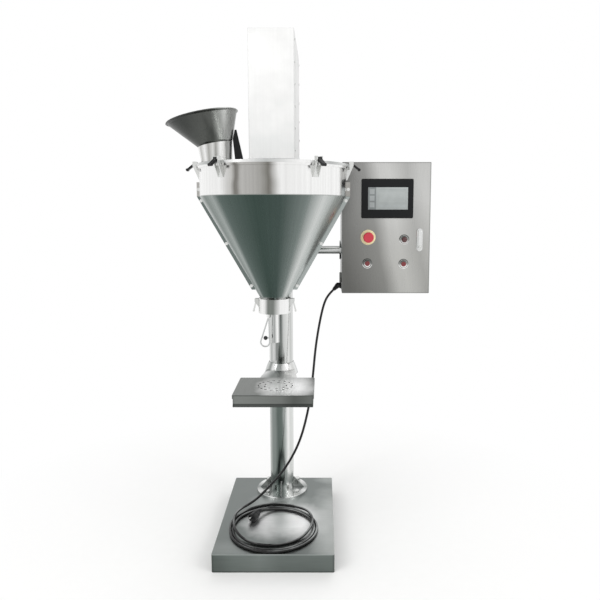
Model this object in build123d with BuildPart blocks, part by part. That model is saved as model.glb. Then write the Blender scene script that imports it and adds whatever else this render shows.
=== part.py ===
# Semi-automatic auger powder filler, in millimetres.
# The origin is on the floor below the fill axis. +Z is up, -Y is the operator's side, +X is to the right.
import os
from math import atan2, cos, degrees, radians, sin, sqrt, tan

from build123d import *

os.makedirs("parts", exist_ok=True)

# Fits shared by many pieces
overrun = 5.0
running_gap = 0.3
pin_gap = 0.05
slide_gap = 0.3
edge_share = 0.25

# Base and column
base_width = 427.0
base_depth = 617.0
base_height = 67.0
base_front_reach = 187.0
base_sheet = 3.0
base_corner = 6.0
base_plate_thickness = 10.0
column_dia = 98.0
column_wall = 4.0
column_set_back = 320.0
flange_dia = 212.0
flange_thickness = 10.0
flange_bevel = 2.0
flange_bolt_circle = 172.0
flange_bolt_count = 4
flange_bolt_dia = 14.0
flange_head_height = 9.0
flange_head_across = 24.0
washer_dia = 30.0
washer_thickness = 3.0
gusset_height = 46.0
gusset_reach = 44.0
gusset_thickness = 6.0

# Head plate on top of the column, and the lid that hangs from it
head_level = 1403.0
head_thickness = 20.0
head_front_reach = 60.0
head_depth = 434.0
head_width = 159.0
head_corner = 6.0
weld_stand = 6.0
lid_radius = 265.0
lid_sheet = 3.0
lid_skirt_height = 9.0
lid_skirt_wall = 14.0

# Hopper, in two halves bolted along their side flanges
barrel_radius = 255.0
hopper_wall = 2.0
rim_height = 7.0
rim_reach = 8.0
barrel_height = 92.5
cone_height = 358.5
neck_radius = 50.0
neck_height = 26.0
seam_reach = 14.0
seam_thickness = 6.0
seam_top_gap = 42.0
seam_foot_gap = 30.0
seam_bolt_dia = 6.0
seam_bolt_head = 11.0
seam_bolt_head_height = 4.0
wing_length = 15.0
wing_height = 11.0
wing_thickness = 3.0
neck_lug_dia = 9.0
neck_lug_height = 24.0
neck_lug_offset = 7.0

# Cam clamps: the lid's are large, the collar's are small
lid_clamp_angles = (-126.0, -54.0, 0.0, 180.0)
lid_cam_radius = 7.0
lid_cam_throw = 2.0
lid_cam_width = 15.0
lid_lever_length = 34.0
lid_lever_thickness = 7.0
lid_lever_tip = 5.0
lid_lever_angle = -38.0
lid_pivot_radius = 273.0
lid_tab_width = 16.0
lid_tab_thickness = 4.0
lid_tab_past_pivot = 4.0
lid_tab_drop = 4.0
lid_ear_thickness = 3.0
lid_ear_margin = 7.0
lid_pin_dia = 6.0
bracket_height = 36.0
bracket_plate = 3.0
collar_cam_radius = 5.0
collar_cam_throw = 1.5
collar_cam_width = 11.0
collar_lever_length = 40.0
collar_lever_thickness = 5.0
collar_lever_tip = 3.5
collar_lever_angle = -76.0
collar_pivot_radius = 65.5
collar_tab_width = 12.0
collar_tab_thickness = 4.0
collar_tab_short_of_pivot = 1.5
collar_tab_drop = 14.0
collar_ear_thickness = 2.5
collar_ear_margin = 5.5
collar_ear_height = 30.0
collar_pin_dia = 4.0
ear_side_gap = 0.8

# Outlet collar, fill tube and nozzle
collar_radius = 57.5
collar_height = 52.0
collar_floor = 6.0
collar_fit = 0.2
tube_radius = 17.0
tube_wall = 2.0
tube_length = 109.0
tube_flange_radius = 46.0
tube_flange_thickness = 5.0
nozzle_radius = 10.5
nozzle_wall = 1.5
nozzle_length = 67.0
nozzle_plug_height = 14.0
nozzle_lip = 1.5

# Hanging handle with its ball knob, below the collar
handle_pivot = (-19.0, -26.0)
handle_drop = 9.0
handle_hub_radius = 8.0
handle_hub_width = 6.0
handle_pin_dia = 6.0
handle_rod_dia = 5.0
handle_loop_radius = 16.0
handle_loop_offset = 14.0
handle_length = 95.0
handle_ear_thickness = 2.5
handle_ball_dia = 15.0
handle_ball_height = 14.6
handle_ball_drop = 80.0
handle_ball_offset = 12.5
handle_stem_dia = 4.0

# Auger and agitator
auger_radius = 14.5
auger_core_radius = 6.0
auger_pitch = 26.0
auger_flight_thickness = 2.5
auger_above_neck = 74.0
auger_end_gap = 5.0
auger_core_margin = 3.0
shaft_radius = 10.0
shaft_joint_radius = 13.0
shaft_joint_height = 30.0
agitator_wall_gap = 12.0
agitator_blade_width = 22.0
agitator_blade_thickness = 8.0
agitator_arm_height = 22.0
agitator_arm_above_cone = 12.0
agitator_foot_gap = 40.0
agitator_hub_radius = 32.0
agitator_hub_height = 46.0
sleeve_radius = 22.5
sleeve_top_rise = 97.0

# Drive under the cover
housing_radius = 55.0
housing_rise = 45.0
housing_flange_radius = 72.0
housing_flange_thickness = 10.0
housing_flange_front = 54.0
housing_bolt_dia = 8.0
housing_floor = 4.0
bearing_radius = 42.5
bearing_height = 19.0
seal_gap = 0.5
pulley_height = 26.0
pulley_flange = 2.0
pulley_flange_reach = 4.0
pulley_level_rise = 67.0
driven_pulley_radius = 48.0
drive_pulley_radius = 30.0
pulley_tooth_depth = 1.5
driven_tooth_count = 32
drive_tooth_count = 20
pulley_centres = 190.0
belt_thickness = 4.0
belt_side_gap = 0.5
drive_shaft_radius = 10.0
motor_plate_rise = 165.0
motor_plate_thickness = 12.0
motor_plate_width = 146.0
motor_plate_front_reach = 53.0
motor_plate_depth = 308.0
post_radius = 6.0
post_inset = 7.0
coupling_radius = 22.0
coupling_height = 54.0
coupling_gap = 6.0
coupling_slot = 2.0
servo_flange_width = 90.0
servo_flange_thickness = 10.0
servo_body_width = 80.0
servo_length = 150.0
servo_cap_width = 62.0
servo_cap_length = 34.0
servo_corner = 8.0
motor_bore_depth = 26.0
gearbox_side = 92.0
gearbox_length = 62.0
agitator_motor_radius = 44.0
agitator_motor_length = 118.0
fan_cover_length = 22.0
fan_cover_radius = 46.0
cover_width = 155.0
cover_front_reach = 58.0
cover_depth = 430.0
cover_height = 425.0
cover_sheet = 2.0
cover_corner = 4.0

# Inlet funnel, its chute on the lid, and the stay plate beside it
inlet_offset = 196.0
inlet_foot_radius = 52.0
inlet_sheet = 2.0
funnel_foot_radius = 60.0
funnel_foot_rise = 71.0
funnel_foot_shift = 5.0
funnel_foot_tilt = 10.7
funnel_rim_radius = 122.5
funnel_rim_rise = 150.5
funnel_rim_shift = 49.0
funnel_rim_tilt = 6.3
funnel_bead = 2.5
funnel_bead_height = 5.0
stay_thickness = 6.0
stay_foot_reach = 31.0
stay_foot_offset = 131.0
stay_top_width = 6.0
stay_gap = 0.4
stay_low_share = 0.10
stay_high_share = 0.48

# Tray
tray_level = 613.5
tray_width = 284.0
tray_depth = 230.0
tray_front_reach = 123.0
tray_lip = 13.5
tray_sheet = 2.0
tray_corner = 5.0
pan_height = 33.0
pan_wall = 2.0
pan_side_gap = 0.5
tray_ring_radius = 62.0
tray_slot_count = 18
tray_slot_length = 11.0
tray_slot_width = 5.0
tray_inner_ring_radius = 40.0
tray_inner_slot_count = 9
bracket_top_thickness = 10.0
bracket_floor_thickness = 8.0
bracket_column_half = 52.0
bracket_tray_half = 78.0
bracket_floor_half = 62.0
bracket_floor_reach = 30.0
bracket_rib_offset = 40.0
bracket_rib_thickness = 8.0
sleeve_wall = 10.0
sleeve_height = 84.0
sleeve_split = 4.0
clamp_ear_reach = 30.0
clamp_ear_thickness = 12.0
clamp_ear_height = 34.0
clamp_stud_dia = 10.0
clamp_stud_inset = 14.0
clamp_head_across = 17.0
clamp_head_height = 7.0
clamp_lever_length = 70.0
clamp_lever_hub_radius = 12.0
clamp_lever_thickness = 12.0
clamp_lever_tip_radius = 7.0
clamp_lever_gap = 1.0
clamp_washer_radius = 8.0
clamp_washer_thickness = 3.0

# Arm and control box
arm_level = 1089.0
arm_radius = 16.0
arm_wall = 2.5
arm_flange_radius = 38.0
arm_flange_thickness = 6.0
arm_clamp_wall = 15.0
arm_clamp_height = 56.0
arm_socket_radius = 23.0
arm_socket_reach = 82.0
arm_socket_depth = 22.0
arm_clamp_split = 4.0
arm_clamp_ear_reach = 24.0
arm_clamp_ear_thickness = 10.0
arm_bolt_dia = 8.0
arm_bolt_head = 14.0
arm_bolt_head_height = 6.0
arm_bolt_offset = 16.0
arm_bolt_inset = 11.0
box_left = 246.6
box_width = 339.0
box_height = 502.0
box_foot = 928.0
box_front = 189.0
box_depth = 200.0
box_sheet = 2.0
box_lip = 14.0
box_corner = 3.0
door_depth = 16.0
door_gap = 1.0
hinge_offset = 5.0
hinge_radius = 4.0
hinge_pin_dia = 4.0
hinge_height = 40.0
hinge_inset = 60.0
hinge_pin_gap = 0.05
hinge_leaf = 3.0
mounting_plate_inset = 24.0
mounting_plate_thickness = 3.0
mounting_stand = 12.0
mounting_post_dia = 10.0
mounting_post_inset = 12.0
module_depth = 46.0
drive_module_width = 60.0
drive_module_height = 160.0
controller_width = 130.0
controller_height = 90.0
breaker_width = 72.0
breaker_height = 84.0
module_margin = 24.0
module_edge = 3.0

# Controls on the door, placed from the door's left and lower edges
hmi_shift = 3.5
hmi_foot = 290.0
hmi_width = 198.0
hmi_left = (box_width - hmi_width) / 2 + hmi_shift
hmi_height = 149.0
hmi_depth = 8.0
hmi_corner = 5.0
hmi_body_inset = 9.0
hmi_body_depth = 34.0
hmi_bevel = 1.5
screen_left = 25.0
screen_foot = 33.0
screen_width = 152.0
screen_height = 84.0
screen_recess = 2.0
screen_thickness = 1.5
screen_side_gap = 0.3
estop_place = (100.4, 217.0)
start_place = (98.4, 116.0)
stop_inset = 100.6
stop_place = (box_width - stop_inset, 114.0)
lamp_inset = 99.0
lamp_place = (box_width - lamp_inset, 208.0)
control_hole_radius = 11.2
control_body_radius = 11.0
control_body_depth = 42.0
bezel_radius = 14.5
bezel_depth = 5.0
bezel_bevel = 1.5
button_radius = 9.5
button_stand = 4.0
button_depth = 20.0
button_dome = 1.5
button_travel = 3.0
control_side_gap = 0.3
lamp_radius = 11.0
lamp_rise = 9.0
lamp_fillet = 7.0
estop_ring_radius = 29.0
estop_ring_depth = 3.0
estop_collar_radius = 15.0
estop_collar_depth = 12.0
estop_stem_radius = 8.0
estop_head_radius = 20.0
estop_head_depth = 13.0
estop_head_fillet = 4.0
estop_head_gap = 5.5
estop_stem_depth = 24.0
estop_travel = 4.0
estop_bevel = 1.5
lock_inset = 40.0
lock_place = (box_width - lock_inset, 207.0)
lock_pivot_rise = 12.0
lock_width = 24.0
lock_height = 88.0
lock_plate_depth = 5.0
lock_handle_width = 15.0
lock_handle_depth = 8.0
lock_handle_margin = 5.0
lock_spindle_radius = 5.0
lock_hub_radius = 8.5
lock_cam_length = 34.0
lock_cam_width = 14.0
lock_cam_thickness = 3.0
lock_cam_gap = 4.5
lock_stand = 0.5

# Power cord
gland_level = 946.0
gland_set_back = 300.0
gland_radius = 11.0
gland_length = 12.0
gland_nut_across = 24.0
gland_nut_thickness = 5.0
gland_relief_length = 20.0
gland_elbow_angle = 45.0
gland_elbow_lap = 4.6
gland_elbow_length = 6.0
gland_relief_root_radius = 9.5
gland_relief_radius = 6.5
cord_dia = 9.5
cord_route = [
    (216.2, 300.0, 927.6),
    (196.4, 300.0, 907.8),
    (180.0, 297.0, 878.0),
    (166.5, 286.5, 828.0),
    (153.5, 266.0, 762.0),
    (142.5, 240.0, 690.0),
    (134.5, 211.0, 602.0),
    (124.0, 188.0, 512.0),
    (108.0, 174.0, 430.0),
    (86.0, 160.0, 352.0),
    (55.0, 150.0, 284.0),
    (10.0, 146.0, 214.0),
    (-44.0, 148.0, 152.0),
    (-88.0, 150.0, 106.0),
    (-121.0, 143.0, 82.0),
    (-150.0, 122.0, 72.6),
    (-170.0, 84.0, 72.0),
    (-176.0, 43.0, 72.0),
    (-172.0, 9.0, 72.5),
]
cord_bend_share = 0.45
coil_centre = (-9.0, -20.0)
coil_outer_radius = 166.0
coil_inner_radius = 128.0
coil_height = 21.0
coil_edge = 8.0
plug_angle = 118.0
plug_turn = -53.0
plug_sink = 4.0
plug_radius = 17.0
plug_length = 46.0
plug_relief_length = 26.0
plug_relief_radius = 5.0
plug_front_fillet = 2.0
pin_length = 18.0
pin_width = 6.0
pin_thickness = 2.0
pin_spread = 12.0
plug_floor_gap = 0.2

# Places worked out from the sizes above
column_radius = column_dia / 2
base_mid = base_depth / 2 - base_front_reach
head_top = head_level + head_thickness
head_mid = head_depth / 2 - head_front_reach
lid_foot = head_level - lid_skirt_height
barrel_top = lid_foot - rim_height
barrel_foot = barrel_top - barrel_height
cone_foot = barrel_foot - cone_height
neck_foot = cone_foot - neck_height
cone_slope = (barrel_radius - neck_radius) / cone_height
collar_foot = cone_foot - collar_height
tube_foot = collar_foot - tube_length
nozzle_foot = tube_foot - nozzle_length
sleeve_top = head_top + sleeve_top_rise
pulley_foot = head_top + pulley_level_rise
motor_plate_foot = head_top + motor_plate_rise
motor_level = motor_plate_foot + motor_plate_thickness
tray_seat = tray_level - tray_lip
pan_foot = tray_level - tray_sheet - pan_height
tray_mid = tray_depth / 2 - tray_front_reach
tray_back = tray_depth - tray_front_reach
box_mid_x = box_left + box_width / 2
box_mid_z = box_foot + box_height / 2
shell_front = box_front + door_depth + door_gap
shell_depth = box_depth - door_depth - door_gap
box_back = box_front + box_depth
lid_pivot_level = head_level - lid_tab_drop + lid_cam_radius + lid_cam_throw + running_gap
collar_tab_level = cone_foot - collar_tab_drop
collar_pivot_level = collar_tab_level + collar_cam_radius + collar_cam_throw + running_gap
hinge_x = box_left - hinge_offset
hinge_y = shell_front - door_gap / 2


def cone_radius(level):
    """Outer radius of the hopper's cone at a level."""
    return neck_radius + (level - cone_foot) * cone_slope


def clamp_plane(angle, pivot_radius, pivot_level):
    """Upright plane through a clamp's pivot, with x outwards and y up."""
    outwards = Vector(1, 0, 0).rotate(Axis.Z, angle)
    up = Vector(0, 0, 1)
    return Plane(
        origin=outwards * pivot_radius + up * pivot_level,
        x_dir=outwards,
        z_dir=outwards.cross(up),
    )


def facing_plane(place, y):
    """Plane on the door, seen from the operator's side, through a place on the door."""
    return Plane(
        origin=(box_left + place[0], y, box_foot + place[1]),
        x_dir=(1, 0, 0),
        z_dir=(0, -1, 0),
    )


def cam_lever(plane, cam_radius, throw, width, length, thickness, tip, angle, pin_dia):
    """Lever with an eccentric round cam, bored for its pin."""
    end = (length * cos(radians(angle)), length * sin(radians(angle)))
    with BuildPart() as lever:
        with BuildSketch(plane):
            with Locations((0, -throw)):
                Circle(cam_radius)
            with Locations(Location((end[0] / 2, end[1] / 2, 0), (0, 0, angle))):
                Rectangle(length, thickness)
            with Locations(end):
                Circle(tip)
            Circle(pin_dia / 2 + pin_gap, mode=Mode.SUBTRACT)
        extrude(amount=width / 2, both=True)
    return lever.part


def clamp_ears(plane, points, inner_half, ear_thickness, pin_dia):
    """Two upright ears beside a cam, with the pin that joins them."""
    ears_plane = plane.offset(inner_half)
    with BuildPart() as ears:
        with BuildSketch(ears_plane):
            Polygon(*points, align=None)
        extrude(amount=ear_thickness)
        mirror(about=plane)
        with BuildSketch(plane):
            Circle(pin_dia / 2)
        extrude(amount=inner_half + ear_thickness, both=True)
    return ears.part


# Folded sheet cover of the base
with BuildPart() as base_cover:
    with BuildSketch():
        with Locations((0, base_mid)):
            RectangleRounded(base_width, base_depth, base_corner)
    extrude(amount=base_height)
    base_rim = base_cover.faces().sort_by(Axis.Z)[-1].edges()
    fillet(base_rim, base_sheet)
    with BuildSketch():
        with Locations((0, base_mid)):
            Rectangle(base_width - 2 * base_sheet, base_depth - 2 * base_sheet)
    extrude(amount=base_height - base_sheet, mode=Mode.SUBTRACT)

base_cover.part.label = "base_cover"
export_step(base_cover.part, "parts/base_cover.step")


# Heavy plate that closes the base from below
with BuildPart() as base_plate:
    with BuildSketch():
        with Locations((0, base_mid)):
            Rectangle(
                base_width - 2 * base_sheet - slide_gap,
                base_depth - 2 * base_sheet - slide_gap,
            )
    extrude(amount=base_plate_thickness)

base_plate.part.label = "base_plate"
export_step(base_plate.part, "parts/base_plate.step")


# Round foot of the column, with four gussets
flange_top = base_height + flange_thickness
with BuildPart() as column_flange:
    with BuildSketch(Plane.XY.offset(base_height)):
        with Locations((0, column_set_back)):
            Circle(flange_dia / 2)
            Circle(column_radius, mode=Mode.SUBTRACT)
    extrude(amount=flange_thickness)
    chamfer(column_flange.faces().sort_by(Axis.Z)[-1].edges().sort_by(SortBy.LENGTH)[-1], flange_bevel)
    for turn in range(flange_bolt_count):
        gusset_plane = Plane(
            origin=(0, column_set_back, flange_top),
            x_dir=Vector(1, 0, 0).rotate(Axis.Z, turn * 360 / flange_bolt_count),
            z_dir=Vector(0, -1, 0).rotate(Axis.Z, turn * 360 / flange_bolt_count),
        )
        with BuildSketch(gusset_plane):
            Polygon(
                (column_radius, 0),
                (column_radius + gusset_reach, 0),
                (column_radius, gusset_height),
                align=None,
            )
        extrude(amount=gusset_thickness / 2, both=True)
    with BuildSketch(Plane.XY.offset(base_height)):
        with Locations((0, column_set_back)):
            Circle(column_radius)
            with PolarLocations(
                flange_bolt_circle / 2, flange_bolt_count, start_angle=180 / flange_bolt_count
            ):
                Circle(flange_bolt_dia / 2)
    extrude(amount=gusset_height, mode=Mode.SUBTRACT)

column_flange.part.label = "column_flange"
export_step(column_flange.part, "parts/column_flange.step")


# Bolts of the column's foot, with their washers
bolt_turn = radians(180 / flange_bolt_count)
flange_bolt_places = [
    (
        flange_bolt_circle / 2 * cos((2 * number + 1) * bolt_turn),
        column_set_back + flange_bolt_circle / 2 * sin((2 * number + 1) * bolt_turn),
    )
    for number in range(flange_bolt_count)
]
with BuildPart() as flange_bolts:
    with BuildSketch(Plane.XY.offset(base_height)):
        with Locations(*flange_bolt_places):
            Circle(flange_bolt_dia / 2)
    extrude(amount=flange_thickness)
    with BuildSketch(Plane.XY.offset(flange_top)):
        with Locations(*flange_bolt_places):
            Circle(washer_dia / 2)
    extrude(amount=washer_thickness)
    with BuildSketch(Plane.XY.offset(flange_top + washer_thickness)):
        with Locations(*flange_bolt_places):
            RegularPolygon(flange_head_across / 2, 6, major_radius=False)
    extrude(amount=flange_head_height)

flange_bolts.part.label = "flange_bolts"
export_step(flange_bolts.part, "parts/flange_bolts.step")


# Round column from the base to just above the head plate
with BuildPart() as column_tube:
    with BuildSketch(Plane.XY.offset(base_height)):
        with Locations((0, column_set_back)):
            Circle(column_radius)
            Circle(column_radius - column_wall, mode=Mode.SUBTRACT)
    extrude(amount=head_top + weld_stand - base_height)

column_tube.part.label = "column_tube"
export_step(column_tube.part, "parts/column_tube.step")


# Thick plate welded round the column's top, which carries the lid and the drive
with BuildPart() as head_plate:
    with BuildSketch(Plane.XY.offset(head_level)):
        with Locations((0, head_mid)):
            RectangleRounded(head_width, head_depth, head_corner)
        with Locations((0, column_set_back)):
            Circle(column_radius, mode=Mode.SUBTRACT)
        Circle(housing_radius, mode=Mode.SUBTRACT)
    extrude(amount=head_thickness)

head_plate.part.label = "head_plate"
export_step(head_plate.part, "parts/head_plate.step")


# Whole hopper, before it is parted into its two halves
with BuildPart() as hopper:
    with BuildSketch(Plane.XZ):
        with BuildLine():
            Polyline(
                (neck_radius, neck_foot),
                (neck_radius, cone_foot),
                (barrel_radius, barrel_foot),
                (barrel_radius, barrel_top),
                (barrel_radius + rim_reach, barrel_top),
                (barrel_radius + rim_reach, lid_foot),
                (barrel_radius - hopper_wall, lid_foot),
                (barrel_radius - hopper_wall, barrel_foot),
                (neck_radius - hopper_wall, cone_foot),
                (neck_radius - hopper_wall, neck_foot),
                close=True,
            )
        make_face()
    revolve(axis=Axis.Z)
    seam_foot = cone_foot + seam_foot_gap
    seam_top = barrel_top - seam_top_gap
    with BuildSketch(Plane.XZ):
        Polygon(
            (cone_radius(seam_foot) - hopper_wall / 2, seam_foot),
            (cone_radius(seam_foot) + seam_reach, seam_foot),
            (barrel_radius + seam_reach, barrel_foot),
            (barrel_radius + seam_reach, seam_top),
            (barrel_radius - hopper_wall / 2, seam_top),
            (barrel_radius - hopper_wall / 2, barrel_foot),
            align=None,
        )
        mirror(about=Plane.YZ)
    extrude(amount=seam_thickness / 2, both=True)
    with BuildSketch(Plane.XY.offset(collar_tab_level - collar_tab_thickness)):
        Rectangle(
            2 * (collar_pivot_radius - collar_tab_short_of_pivot),
            collar_tab_width,
        )
        Circle(neck_radius - hopper_wall / 2, mode=Mode.SUBTRACT)
    extrude(amount=collar_tab_thickness)
    lug_y = -cone_radius(cone_foot + neck_lug_height / 2)
    with BuildSketch(Plane.XY.offset(cone_foot + hopper_wall)):
        with Locations((neck_lug_offset, lug_y)):
            Circle(neck_lug_dia / 2)
    extrude(amount=neck_lug_height)
    with BuildSketch(Plane.XZ):
        Polygon(
            (0, cone_foot),
            (neck_radius - hopper_wall, cone_foot),
            (barrel_radius - hopper_wall, barrel_foot),
            (0, barrel_foot),
            align=None,
        )
    revolve(axis=Axis.Z, mode=Mode.SUBTRACT)
    seam_mid = seam_reach / 2
    seam_bolt_levels = [
        seam_foot + seam_reach,
        (seam_foot + barrel_foot) / 2,
        barrel_foot - seam_reach,
        (barrel_foot + seam_top) / 2,
    ]
    seam_bolt_places = [
        (side * (min(cone_radius(level), barrel_radius) + seam_mid), level)
        for level in seam_bolt_levels
        for side in (-1, 1)
    ]
    with BuildSketch(Plane.XZ):
        with Locations(*seam_bolt_places):
            Circle(seam_bolt_dia / 2)
    extrude(amount=seam_thickness, both=True, mode=Mode.SUBTRACT)


# Front half of the hopper
with BuildPart() as hopper_front:
    add(hopper.part)
    split(bisect_by=Plane.XZ, keep=Keep.TOP)

hopper_front.part.label = "hopper_front"
export_step(hopper_front.part, "parts/hopper_front.step")


# Rear half of the hopper
with BuildPart() as hopper_rear:
    add(hopper.part)
    split(bisect_by=Plane.XZ, keep=Keep.BOTTOM)

hopper_rear.part.label = "hopper_rear"
export_step(hopper_rear.part, "parts/hopper_rear.step")


# Bolts through the side flanges, each with a wing nut behind
with BuildPart() as seam_bolts:
    with BuildSketch(Plane.XZ.offset(-seam_thickness / 2)):
        with Locations(*seam_bolt_places):
            Circle(seam_bolt_dia / 2)
    extrude(amount=seam_thickness)
    with BuildSketch(Plane.XZ.offset(seam_thickness / 2)):
        with Locations(*seam_bolt_places):
            RegularPolygon(seam_bolt_head / 2, 6, major_radius=False)
    extrude(amount=seam_bolt_head_height)
    with BuildSketch(Plane.XZ.offset(-seam_thickness / 2)):
        with Locations(*seam_bolt_places):
            Circle(seam_bolt_head / 2)
    extrude(amount=-seam_bolt_head_height)
    with BuildSketch(Plane.XZ.offset(-seam_thickness / 2 - seam_bolt_head_height)):
        with Locations(*seam_bolt_places):
            SlotOverall(wing_length, wing_thickness, rotation=90)
    extrude(amount=-wing_height)

seam_bolts.part.label = "seam_bolts"
export_step(seam_bolts.part, "parts/seam_bolts.step")


# Lid with its skirt, clamp tabs and inlet stub
funnel_foot_plane = Plane(
    origin=(-inlet_offset - funnel_foot_shift, 0, head_level + funnel_foot_rise),
    x_dir=Vector(1, 0, 0).rotate(Axis.Y, -funnel_foot_tilt),
    z_dir=Vector(0, 0, 1).rotate(Axis.Y, -funnel_foot_tilt),
)
funnel_rim_plane = Plane(
    origin=(-inlet_offset - funnel_rim_shift, 0, head_level + funnel_rim_rise),
    x_dir=Vector(1, 0, 0).rotate(Axis.Y, -funnel_rim_tilt),
    z_dir=Vector(0, 0, 1).rotate(Axis.Y, -funnel_rim_tilt),
)
stub_foot = head_level - lid_sheet
with BuildPart() as lid:
    with BuildSketch(Plane.XY.offset(lid_foot)):
        Circle(lid_radius)
        Circle(lid_radius - lid_skirt_wall, mode=Mode.SUBTRACT)
    extrude(amount=lid_skirt_height)
    with BuildSketch(Plane.XY.offset(stub_foot)):
        Circle(lid_radius - lid_skirt_wall / 2)
    extrude(amount=lid_sheet)
    fillet(lid.faces().sort_by(Axis.Z)[-1].edges(), lid_sheet / 2)
    for angle in lid_clamp_angles:
        tab_plane = Plane(
            origin=(0, 0, head_level - lid_tab_drop),
            x_dir=Vector(1, 0, 0).rotate(Axis.Z, angle),
            z_dir=(0, 0, 1),
        )
        tab_inner = lid_radius - lid_skirt_wall / 2
        tab_outer = lid_pivot_radius + lid_tab_past_pivot
        with BuildSketch(tab_plane):
            with Locations(((tab_inner + tab_outer) / 2, 0)):
                Rectangle(tab_outer - tab_inner, lid_tab_width)
        extrude(amount=-lid_tab_thickness)
    with BuildSketch(Plane.XY.offset(stub_foot)):
        with Locations((-inlet_offset, 0)):
            Circle(inlet_foot_radius)
    with BuildSketch(funnel_foot_plane):
        Circle(funnel_foot_radius)
    loft()
    with BuildSketch(Plane.XY.offset(stub_foot)):
        with Locations((-inlet_offset, 0)):
            Circle(inlet_foot_radius - inlet_sheet)
    with BuildSketch(funnel_foot_plane):
        Circle(funnel_foot_radius - inlet_sheet)
    loft(mode=Mode.SUBTRACT)
    with BuildSketch(Plane.XY.offset(lid_foot)):
        Circle(housing_radius)
    extrude(amount=lid_skirt_height, mode=Mode.SUBTRACT)

lid.part.label = "lid"
export_step(lid.part, "parts/lid.step")


# Tilted inlet funnel on the stub
with BuildPart() as inlet_funnel:
    with BuildSketch(funnel_foot_plane):
        Circle(funnel_foot_radius)
    with BuildSketch(funnel_rim_plane):
        Circle(funnel_rim_radius)
    loft()
    with BuildSketch(funnel_rim_plane):
        Circle(funnel_rim_radius + funnel_bead)
    extrude(amount=-funnel_bead_height)
    with BuildSketch(funnel_foot_plane):
        Circle(funnel_foot_radius - inlet_sheet)
    with BuildSketch(funnel_rim_plane):
        Circle(funnel_rim_radius - inlet_sheet)
    loft(mode=Mode.SUBTRACT)
    funnel_lip = inlet_funnel.edges().filter_by(GeomType.CIRCLE).sort_by(SortBy.LENGTH)[-2:]
    fillet(funnel_lip, funnel_bead * edge_share)

inlet_funnel.part.label = "inlet_funnel"
export_step(inlet_funnel.part, "parts/inlet_funnel.step")


# Stay plate from the lid up to the funnel's right side
foot_edge = funnel_foot_plane.from_local_coords((funnel_foot_radius + stay_gap, 0, 0))
rim_edge = funnel_rim_plane.from_local_coords((funnel_rim_radius + stay_gap, 0, 0))
stay_low = foot_edge + (rim_edge - foot_edge) * stay_low_share
stay_high = foot_edge + (rim_edge - foot_edge) * stay_high_share
with BuildPart() as inlet_stay:
    with BuildSketch(Plane.XZ):
        Polygon(
            (-stay_foot_offset, head_level),
            (-stay_foot_offset + stay_foot_reach, head_level),
            (stay_high.X + stay_top_width, stay_high.Z),
            (stay_high.X, stay_high.Z),
            (stay_low.X, stay_low.Z),
            align=None,
        )
    extrude(amount=stay_thickness / 2, both=True)

inlet_stay.part.label = "inlet_stay"
export_step(inlet_stay.part, "parts/inlet_stay.step")


# Brackets of the lid's four clamps, on the barrel, each with its pin
bracket_foot = lid_foot - rim_height - bracket_height
bracket_top = lid_foot - rim_height - running_gap
lid_ear_outline = [
    (barrel_radius - lid_pivot_radius, bracket_foot - lid_pivot_level),
    (barrel_radius - lid_pivot_radius, bracket_top - lid_pivot_level),
    (lid_radius + running_gap - lid_pivot_radius, bracket_top - lid_pivot_level),
    (lid_radius + running_gap - lid_pivot_radius, lid_ear_margin),
    (lid_ear_margin, lid_ear_margin),
    (lid_ear_margin, -lid_ear_margin),
    (barrel_radius + bracket_plate - lid_pivot_radius, bracket_foot - lid_pivot_level),
]
lid_ear_half = lid_cam_width / 2 + ear_side_gap
with BuildPart() as lid_brackets:
    for angle in lid_clamp_angles:
        pivot_plane = clamp_plane(angle, lid_pivot_radius, lid_pivot_level)
        add(
            clamp_ears(
                pivot_plane, lid_ear_outline, lid_ear_half, lid_ear_thickness, lid_pin_dia
            )
        )
        with BuildSketch(pivot_plane):
            Polygon(
                (barrel_radius - lid_pivot_radius, bracket_foot - lid_pivot_level),
                (barrel_radius - lid_pivot_radius, bracket_top - lid_pivot_level),
                (
                    barrel_radius + bracket_plate - lid_pivot_radius,
                    bracket_top - lid_pivot_level,
                ),
                (
                    barrel_radius + bracket_plate - lid_pivot_radius,
                    bracket_foot - lid_pivot_level,
                ),
                align=None,
            )
        extrude(amount=lid_ear_half + lid_ear_thickness, both=True)

lid_brackets.part.label = "lid_brackets"
export_step(lid_brackets.part, "parts/lid_brackets.step")


# Black cam levers of the lid's clamps
for number, angle in enumerate(lid_clamp_angles, start=1):
    lid_lever = cam_lever(
        clamp_plane(angle, lid_pivot_radius, lid_pivot_level),
        lid_cam_radius,
        lid_cam_throw,
        lid_cam_width,
        lid_lever_length,
        lid_lever_thickness,
        lid_lever_tip,
        lid_lever_angle,
        lid_pin_dia,
    )
    lid_lever.label = f"lid_lever_{number}"
    export_step(lid_lever, f"parts/lid_lever_{number}.step")


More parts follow.
